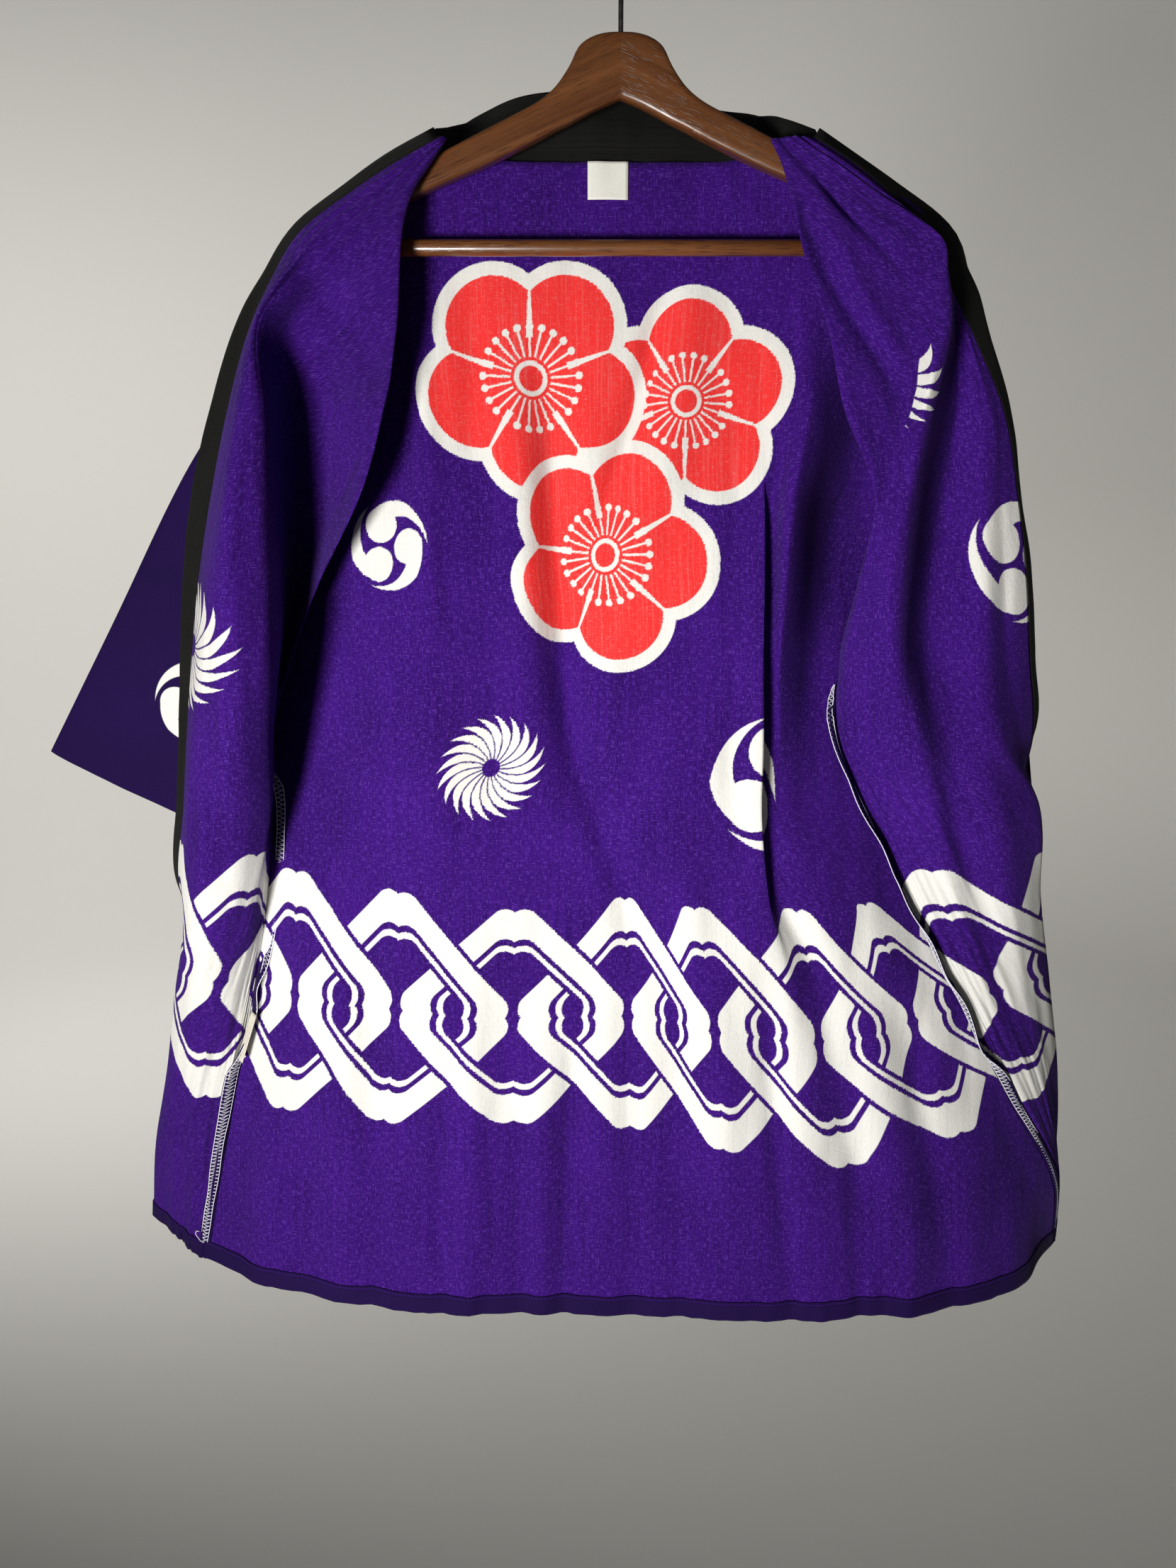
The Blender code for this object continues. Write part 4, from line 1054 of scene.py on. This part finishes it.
def front_piece(name, side, links, prints):
    """A front's grid, from left to right, its map from the edge that the band is sewn to."""
    edge_column = FRONT_ACROSS if side > 0 else 0

    def point(i, j):
        share = 1.0 - abs(i - edge_column) / FRONT_ACROSS
        return front_at(side, share, mixed(FRONTS[side][0].z, HEM_HEIGHT, j / FRONT_DOWN))

    piece = cloth_piece(name, FRONT_ACROSS, FRONT_DOWN, point,
                        printed_cotton(name + "_cotton", prints), edge_column, links)
    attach(piece, "root")
    return piece


front_left = front_piece("coat_front_left", -1, FRONT_LEFT_LINKS, front_left_prints)
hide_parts("front_left")
front_right = front_piece("coat_front_right", 1, FRONT_RIGHT_LINKS, front_right_prints)
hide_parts("front_right")

# The sleeves are short wide tubes of the same cotton, sewn into the armholes. They hang flat
# behind the fronts with their outside to the front.
# A sleeve's rows run from the armhole to the cuff: the ends of the upper and of the under fold
# there, and half the depth of the hollow between its two layers.
SLEEVE_COLUMNS = "top under half_depth"
SLEEVE_LEFT = table(SLEEVE_COLUMNS, [
    ((-286, 61, -318), (-246, 72, -530), 9),
    ((-341, 66, -412), (-210, 88, -572), 11),
    ((-396, 70, -506), (-178, 101, -622), 12),
])
SLEEVE_RIGHT = table(SLEEVE_COLUMNS, [
    ((254, 59, -318), (138, 54, -490), 9),
    ((278, 68, -428), (99, 79, -548), 11),
    ((301, 77, -556), (60, 102, -620), 12),
])
SHOULDER_END_LEFT = -250.0
SHOULDER_END_RIGHT = -245.0
UNDERARM_LEFT = -505.0
UNDERARM_RIGHT = -447.0
SLEEVE_ROUND = 104
SLEEVE_LENGTHWISE = 60
ARMHOLE_GAP = 0.5
SMOOTH_RINGS = 8.0
SLEEVE_CRUMPLE = 0.8
OUTSIDE_DEEP = (0.0070, 0.0011, 0.034)
OUTSIDE_LIGHT = (0.0145, 0.0028, 0.062)


def sleeve_piece(name, rows, side, shoulder_end, underarm, finish):
    """A tube whose first ring follows the armhole and its last the cuff. It is open at both."""
    half_way = SLEEVE_ROUND // 2

    def ring(row, down, layer):
        centre = Vector(row.top).lerp(Vector(row.under), down)
        return centre + Vector((0.0, layer * row.half_depth * math.sqrt(4 * down * (1 - down)), 0.0))

    def point(corner, j):
        step = min(corner, 2 * half_way - corner)
        down = 0.5 - 0.5 * math.cos(math.pi * step / half_way)
        z = mixed(shoulder_end, underarm, down)
        layer = -1 if corner < half_way else 1
        edge = side_point(z, side, layer)
        rings = [Vector((edge.x + side * ARMHOLE_GAP, edge.y + layer * ARMHOLE_GAP, z))]
        rings += [ring(row, down, layer) for row in rows]
        here = along(rings, j / SLEEVE_LENGTHWISE)
        uneven = min(j / SMOOTH_RINGS, 1.0) * math.sqrt(4 * down * (1 - down))
        here.y += uneven * SLEEVE_CRUMPLE * crumple(here.x, here.z, 6.0 + layer + side)
        return here

    piece = cloth_piece(name, SLEEVE_ROUND, SLEEVE_LENGTHWISE, point, finish)
    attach(piece, "root")
    return piece


def outside_cotton(name, swirls):
    """The outside face of the same cotton, darker and more even, its marks turned the other way."""
    finish = Finish(name, {"Roughness": 0.86, "Sheen Weight": 0.02, "Specular IOR Level": 0.12})
    across, down, cloth_map = map_readings(finish, "cloth")
    threads = noise_over(finish, cloth_map, (900, 900, 1))
    clouds = noise_over(finish, cloth_map, (14, 14, 1), detail=3.0)
    shade = (threads * 0.6 + clouds * 0.4).above(0.5, 0.5)
    ground = mixed_colour(finish, shade, OUTSIDE_DEEP, OUTSIDE_LIGHT)
    white = with_motifs(across * -1.0, down, [], swirls)
    finish.paint(mixed_colour(finish, white * 0.97, ground, UNDYED))
    crinkle = noise_over(finish, cloth_map, (90, 50, 1), detail=3.0)
    raise_surface(finish, crinkle * 0.6 + threads * 0.3, 0.5)
    return finish


LEFT_SLEEVE_SWIRLS = [Spot(289, -471, 29, 120)]
sleeve_left = sleeve_piece("coat_sleeve_left", SLEEVE_LEFT, -1, SHOULDER_END_LEFT, UNDERARM_LEFT,
                           outside_cotton("left sleeve cotton", LEFT_SLEEVE_SWIRLS))
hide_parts("sleeve_left")
sleeve_right = sleeve_piece("coat_sleeve_right", SLEEVE_RIGHT, 1, SHOULDER_END_RIGHT, UNDERARM_RIGHT,
                            outside_cotton("right sleeve cotton", []))
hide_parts("sleeve_right")

# The hem is the cloth's lower edge, turned up to the inside and sewn down with one row of
# stitches. The strip shows the outside face, so it is darker than the cloth it lies on.
HEM_TURN_UP = 14.0
HEM_ROWS = 7
HEM_LIFT = 0.9
STITCH_FROM_EDGE = 1.6
STITCH_PITCH = 3.0
STITCH_WIDTH = 0.7
SHARE_STEP = 0.004


def laid_on(surface, share, z, lift):
    """A place so far in front of a cloth's surface(share, z), or behind it if below zero."""
    across = surface(min(share + SHARE_STEP, 1.0), z) - surface(max(share - SHARE_STEP, 0.0), z)
    up = surface(share, z + 1.0) - surface(share, z - 1.0)
    return surface(share, z) + across.cross(up).normalized() * lift


def hem_cotton():
    """The outside cotton with its row of stitches, which pull the strip in a little."""
    finish = outside_cotton("hem cotton", [])
    across, down, cloth_map = map_readings(finish, "cloth")
    below_edge = HEM_HEIGHT + HEM_TURN_UP - STITCH_FROM_EDGE - down
    in_row = inside(abs(below_edge) - 0.5 * STITCH_WIDTH)
    thread = (across / STITCH_PITCH).worked("FRACT").above(0.22, 0.1) * in_row
    ground = finish.shader.inputs["Base Color"].links[0].from_socket
    finish.paint(mixed_colour(finish, thread * 0.5, ground, PURPLE_LIGHT))
    furrow = (abs(below_edge) * -0.5 + 1.0).worked("ADD", 0.0, within=True)
    crinkle = noise_over(finish, cloth_map, (180, 60, 1), detail=3.0)
    raise_surface(finish, crinkle * 0.8 - furrow + thread * 0.7, 0.7)
    return finish


hem_finish = hem_cotton()


def hem_piece(name, surface, across, inward):
    """The turned-up strip on the inside of a cloth's surface, along its lower edge."""
    def point(i, j):
        z = mixed(HEM_HEIGHT + HEM_TURN_UP, HEM_HEIGHT, j / HEM_ROWS)
        return laid_on(surface, i / across, z, inward * HEM_LIFT)

    piece = cloth_piece(name, across, HEM_ROWS, point, hem_finish, 0)
    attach(piece, "root")
    return piece


back_hem = hem_piece("coat_back_hem", back_at, BACK_ACROSS, 1)
front_left_hem = hem_piece("coat_front_left_hem", partial(front_at, -1), FRONT_ACROSS, -1)
front_right_hem = hem_piece("coat_front_right_hem", partial(front_at, 1), FRONT_ACROSS, 1)

# The two side seams join front and back. Their allowances lie on the fronts' inside, and a white
# thread runs to and fro over their edges, which keeps them from fraying.
ALLOWANCE = 8.6
ALLOWANCE_LIFT = 1.0
ALLOWANCE_CLOTH = 0.5
ALLOWANCE_COLUMNS = 4
ALLOWANCE_ROW = 4.0
# The thread: the height of one stitch, its radius, how near to the seam it runs, and how far it
# lies off the allowance.
THREAD_PITCH = 2.9
THREAD_RADIUS = 0.31
THREAD_INNER = 2.6
THREAD_LIFT = 0.9
# Down to this depth the allowance stands up from the cloth, at such a share of the way from flat
# to upright. Over so many millimetres more it comes to lie flat.
LIES_BELOW = 700.0
UPRIGHT_SHARE = 0.74
LIES_WITHIN = 30.0
RIGHT_SEAM_TOP = UNDERARM_RIGHT - 6.0
# The allowance begins narrow at the underarm and has its width so far below it.
NARROW_SHARE = 0.15
WIDENS_WITHIN = 24.0
# The thread's loose end, from its last stitch.
THREAD_END = [(0, 0, 0), (-2, -1, 2), (-4, -1, 5), (-5.5, -1, 8), (-4.5, -1.5, 10.5), (-2.5, -1.5, 10)]


@cache
def white_thread():
    """Spun polyester thread, a little bluish, with its twist as fine slanting ribs."""
    finish = Finish("white thread", {"Roughness": 0.6})
    place_there = finish.node("TexCoord").outputs["Object"]
    twist = noise_over(finish, place_there, (900, 900, 2400), detail=1.0)
    finish.paint(mixed_colour(finish, twist, (0.62, 0.60, 0.74), (0.86, 0.86, 0.90)))
    raise_surface(finish, twist, 0.12)
    return finish


def front_share(side, z, distance):
    """The share of a front's width at so many millimetres of cloth from its side seam."""
    share, walked = 0.0, 0.0
    while walked < distance:
        stride = (along(front_row(side, z), share + SHARE_STEP) - along(front_row(side, z), share)).length
        share += SHARE_STEP * min(1.0, (distance - walked) / stride)
        walked += stride
    return share


def on_allowance(side, distance, z):
    """A place so far from the seam. The allowance stands up at first and lies flat further down."""
    surface = partial(front_at, side)
    flat = laid_on(surface, front_share(side, z, distance), z, side * ALLOWANCE_LIFT)
    seam = laid_on(surface, 0.0, z, side * ALLOWANCE_LIFT)
    upright = laid_on(surface, 0.0, z, side * (ALLOWANCE_LIFT + distance))
    standing = seam + (flat - seam).lerp(upright - seam, UPRIGHT_SHARE).normalized() * distance
    return standing.lerp(flat, between(-z, LIES_BELOW, LIES_WITHIN))


def seam_pieces(name, side, top):
    """The allowance of one side seam, and the thread over its edge."""
    bottom = HEM_HEIGHT + HEM_TURN_UP
    rows = round((top - bottom) / ALLOWANCE_ROW)

    def narrowed(reach, z):
        return reach * min(NARROW_SHARE + (top - z) / WIDENS_WITHIN, 1.0)

    def point(i, j):
        z = mixed(top, bottom, j / rows)
        return on_allowance(side, narrowed(ALLOWANCE * i / ALLOWANCE_COLUMNS, z) + 0.01, z)

    allowance = cloth_piece(name, ALLOWANCE_COLUMNS, rows, point,
                            outside_cotton(name + "_cotton", []), 0, wall=ALLOWANCE_CLOTH)
    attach(allowance, "root")

    quarters = round(4.0 * (top - bottom) / THREAD_PITCH)
    middle = (ALLOWANCE + THREAD_INNER) / 2.0
    on_top = Vector((-side, -1.0, 0.0)) * THREAD_LIFT
    runs = []
    for reaches in ((ALLOWANCE, middle, THREAD_INNER, middle), (ALLOWANCE,) * 4, (THREAD_INNER,) * 4):
        heights = [mixed(top, bottom, quarter / quarters) for quarter in range(quarters + 1)]
        runs.append([on_allowance(side, narrowed(reaches[quarter % 4], z), z) + on_top
                     for quarter, z in enumerate(heights)])
    runs.append([runs[0][-1] + Vector(step) for step in THREAD_END])
    thread = wire_object(name + "_thread", THREAD_RADIUS, 1, runs, white_thread(), False)
    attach(thread, "root")
    return [allowance, thread]


left_seam = seam_pieces("coat_left_seam", -1, UNDERARM_LEFT)
right_seam = seam_pieces("coat_right_seam", 1, RIGHT_SEAM_TOP)

# The band is a long strip of black cotton, folded double and sewn to both fronts' edges and
# round behind the neck. It turns back from the seam, and gathers a little behind the neck.
BAND_CLOTH = 1.6
# The band beyond the edge it is sewn to: outward and backward to its middle and its free edge.
BAND_COLUMNS = "z middle_out middle_back end_out end_back"
BANDS = {
    -1: table(BAND_COLUMNS, [
        (-136, 13, 22, 7, 44),
        (-150, 13, 22, 6, 44),
        (-165, 12, 22, 5, 44),
        (-190, 11, 20, 4, 42),
        (-210, 11, 18, 5, 38),
        (-225, 12, 15, 7, 34),
        (-240, 12, 13, 6, 31),
        (-285, 14, 12, 4, 27),
        (-335, 15, 11, -2, 28),
        (-385, 13, 11, -6, 28),
        (-485, 9, 14, -8, 29),
        (-535, 9, 17, -8, 31),
        (-600, 7, 22, -12, 40),
        (-670, -14, 17, -40, 26),
        (-745, -24, 6, -48, 13),
        (-885, -24, 5, -48, 11),
    ]),
    1: table(BAND_COLUMNS, [
        (-136, 13, 22, 7, 44),
        (-150, 12, 22, 6, 44),
        (-165, 14, 22, 7, 44),
        (-190, 18, 20, 10, 42),
        (-210, 19, 18, 12, 38),
        (-225, 18, 14, 13, 33),
        (-240, 14, 13, 8, 30),
        (-285, 8, 14, -3, 28),
        (-335, 5, 13, -13, 23),
        (-385, 6, 12, -16, 20),
        (-435, 5, 10, -20, 17),
        (-485, 3, 9, -22, 14),
        (-535, -21, 6, -44, 8),
        (-600, -22, 4, -46, 7),
        (-670, -23, 8, -47, 13),
        (-885, -24, 4, -48, 9),
    ]),
}

# The band behind the neck, from left to right: the foot it is sewn along, and how far its middle
# and its free edge stand up and lean back from there.
NECK = table("x y z middle_up middle_back end_up end_back", [
    (-108, -14, -139, 14, 22, 9, 44),
    (-103, -5, -139, 16, 19, 17, 43),
    (-97, 7, -140, 21, 18, 27, 38),
    (-84, 12, -142, 24, 15, 37, 34),
    (-60, 13, -145, 29, 12, 48, 28),
    (-30, 13, -146, 31, 9, 51, 24),
    (5, 13, -146, 30, 10, 50, 25),
    (38, 13, -145, 27, 12, 44, 28),
    (64, 12, -142, 24, 14, 38, 32),
    (82, 10, -140, 24, 16, 35, 37),
    (92, 3, -138, 23, 19, 29, 42),
    (101, -7, -138, 19, 21, 21, 44),
    (114, -14, -139, 14, 22, 9, 44),
])
BAND_DOWN = 200
BAND_ACROSS = 14
BLACK_DEEP = (0.0036, 0.0036, 0.0034)
BLACK_LIGHT = (0.0112, 0.0112, 0.0100)
BAND_STITCH_FROM_SEAM = 2.5
BAND_UNEVEN_Y = 1.6
BAND_UNEVEN_X = 1.2


def black_cotton():
    """Black plain weave, matt, with a row of stitches beside the seam."""
    finish = Finish("black cotton", {"Roughness": 0.9, "Sheen Weight": 0.02, "Specular IOR Level": 0.12})
    across, down, cloth_map = map_readings(finish, "cloth")
    threads = noise_over(finish, cloth_map, (1200, 700, 1))
    clouds = noise_over(finish, cloth_map, (30, 30, 1), detail=3.0)
    shade = (threads * 0.7 + clouds * 0.3).above(0.5, 0.4)
    finish.paint(mixed_colour(finish, shade, BLACK_DEEP, BLACK_LIGHT))
    in_row = inside(abs(across - BAND_STITCH_FROM_SEAM) - 0.5)
    stitch = (down / STITCH_PITCH).worked("FRACT").above(0.2, 0.1) * in_row
    crinkle = noise_over(finish, cloth_map, (80, 80, 1), detail=3.0)
    raise_surface(finish, crinkle * 0.9 + threads * 0.35 - stitch * 0.8, 0.6)
    return finish


black = black_cotton()


def band_section(side, z):
    """Foot, middle and free edge of the band beside a front's edge at height z."""
    rows, band_rows, step = FRONTS[side], BANDS[side], 4.0

    def edge_line(at):
        return Vector((*place(rows, at, "edge"), at))

    line = edge_line(min(z + step, rows[0].z)) - edge_line(z - step)
    outward = Vector((side * abs(line.z), 0.0, -side * line.x * (1 if line.z > 0 else -1))).normalized()
    section = [edge_line(z)]
    for name in ("middle", "end"):
        out = column(band_rows, z, lambda row: getattr(row, name + "_out"))
        back_by = column(band_rows, z, lambda row: getattr(row, name + "_back"))
        section.append(section[0] + outward * out + Vector((0.0, back_by, 0.0)))
    return section


def side_band_piece(name, side):
    """The band along one front's edge, a little uneven towards its free edge."""
    heights = [mixed(FRONTS[side][0].z, HEM_HEIGHT, j / BAND_DOWN) for j in range(BAND_DOWN + 1)]
    sections = [band_section(side, z) for z in heights]

    def point(i, j):
        share = i / BAND_ACROSS
        here = along(sections[j], share)
        here.y += share * BAND_UNEVEN_Y * noise.noise(Vector((share, 11.0 + side, heights[j] / 34.0)))
        here.x += share * BAND_UNEVEN_X * noise.noise(Vector((share, 14.0 + side, heights[j] / 22.0)))
        return here

    band = cloth_piece(name, BAND_ACROSS, BAND_DOWN, point, black, 0, wall=BAND_CLOTH)
    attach(band, "root")
    return band


band_left = side_band_piece("coat_band_left", -1)
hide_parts("band_left")
band_right = side_band_piece("coat_band_right", 1)
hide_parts("band_right")

NECK_ALONG = 160
NECK_ACROSS = 16
NECK_PUCKERS = 1.8
NECK_FOLDS = 2.2


def neck_section(share):
    """Foot, middle and free edge of the band behind the neck."""
    at = share * (len(NECK) - 1)

    def read(name):
        return smooth_through(range(len(NECK)), [getattr(row, name) for row in NECK], at)

    foot = Vector((read("x"), read("y"), read("z")))
    return [foot, foot + Vector((0.0, read("middle_back"), read("middle_up"))),
            foot + Vector((0.0, read("end_back"), read("end_up")))]


def neck_place(i, j):
    """Across the band from its foot, which puckers where it is sewn to the curved neck."""
    share = i / NECK_ACROSS
    section = neck_section(j / NECK_ALONG)
    here = along(section, share)
    pucker = noise.noise(Vector((section[0].x / 11.0, share * 0.8, 21.0)))
    fold = noise.noise(Vector((section[0].x / 30.0, share * 1.5, 25.0)))
    free = math.sin(math.pi * min(share + 0.05, 1.0))
    here.y += free * (NECK_PUCKERS * pucker + NECK_FOLDS * fold)
    return here


neck_band = cloth_piece("coat_band_neck", NECK_ACROSS, NECK_ALONG, neck_place, black, 0,
                        wall=BAND_CLOTH)
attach(neck_band, "root")
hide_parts("band_neck")

# Two bare labels of woven tape: a square one sewn in under the neck seam, and a narrow care
# label caught in the left side seam, which stands off the cloth.
NECK_LABEL_LEFT = -19.0
NECK_LABEL_SIZE = (24.0, 21.0)
CARE_LABEL_TOP = -684.0
CARE_LABEL_SIZE = (11.0, 36.0)
LABEL_LIFT = 1.2
LABEL_CLOTH = 0.5
LABEL_BETWEEN_SHARES = (0.2, 0.6)
LABEL_HALVINGS = 30
LABEL_COLUMNS = 12
LABEL_ROWS = 14
TAPE_SHADE = 0.86
# Where the care label starts from the seam, along the cloth and off it, and its run both ways.
CARE_LABEL_START = (4.0, 3.5)
CARE_LABEL_RUN = (0.8, 0.4)
CARE_LABEL_SLANT = 0.1


def label_tape(name, colour):
    """Satin tape with fine ribs across."""
    finish = Finish(name, {"Roughness": 0.62, "Sheen Weight": 0.2})
    cloth_map = finish.node("UVMap", uv_map="cloth").outputs[0]
    ribs = noise_over(finish, cloth_map, (500, 3000, 1), detail=1.0)
    clouds = noise_over(finish, cloth_map, (60, 60, 1))
    uneven = ribs * 0.5 + clouds * 0.5
    shaded = tuple(TAPE_SHADE * part for part in colour)
    finish.paint(mixed_colour(finish, uneven.above(0.5, 0.4), shaded, colour))
    raise_surface(finish, uneven, 0.15)
    return finish


def below_neck_seam(across, down):
    """A place just before the back's cloth, under the middle of the neck. The share of the
    back's width that lies there is found by halving."""
    x, z = NECK_LABEL_LEFT + across, NECK_HEIGHT - down
    low, high = LABEL_BETWEEN_SHARES
    for _ in range(LABEL_HALVINGS):
        share = 0.5 * (low + high)
        if back_at(share, z).x < x:
            low = share
        else:
            high = share
    return Vector((x, back_at(low, z).y - LABEL_LIFT, z))


def beside_left_seam(across, down):
    """A place before the back's cloth beside its left seam, further off it at the label's end."""
    z = CARE_LABEL_TOP - down
    seam = side_point(z, -1, 1)
    way = (back_row(z)[1] - seam).normalized()
    facing = Vector((way.y, -way.x))
    run, lift = (start + share * across for start, share in zip(CARE_LABEL_START, CARE_LABEL_RUN))
    x, y = seam + way * run + facing * lift
    return Vector((x - CARE_LABEL_SLANT * down, y, z))


def label_piece(name, size, place_on_cloth, finish):
    """A label of one size, at the places that place_on_cloth(across, down) gives."""
    def point(i, j):
        return place_on_cloth(size[0] * i / LABEL_COLUMNS, size[1] * j / LABEL_ROWS)

    label = cloth_piece(name, LABEL_COLUMNS, LABEL_ROWS, point, finish, 0, wall=LABEL_CLOTH)
    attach(label, "root")
    return label


neck_label = label_piece("coat_neck_label", NECK_LABEL_SIZE, below_neck_seam,
                         label_tape("neck label tape", (0.80, 0.79, 0.73)))
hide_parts("neck_label")
care_label = label_piece("coat_care_label", CARE_LABEL_SIZE, beside_left_seam,
                         label_tape("care label tape", (0.74, 0.70, 0.58)))
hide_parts("care_label")

# Each cut piece of cloth, with the width and length of its pattern in metres and what is sewn on.
COAT_PARTS = [
    (back, (0.53, 0.76), [back_hem]),
    (front_left, (0.24, 0.76), [front_left_hem, *left_seam]),
    (front_right, (0.22, 0.76), [front_right_hem, *right_seam]),
    (sleeve_left, (0.50, 0.14), []),
    (sleeve_right, (0.44, 0.20), []),
    (band_left, (0.05, 0.78), []),
    (band_right, (0.05, 0.76), []),
    (neck_band, (0.055, 0.23), []),
    (neck_label, (0.024, 0.021), []),
    (care_label, (0.011, 0.036), []),
]
for piece, flat, sewn_on in COAT_PARTS:
    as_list(sewn_on)
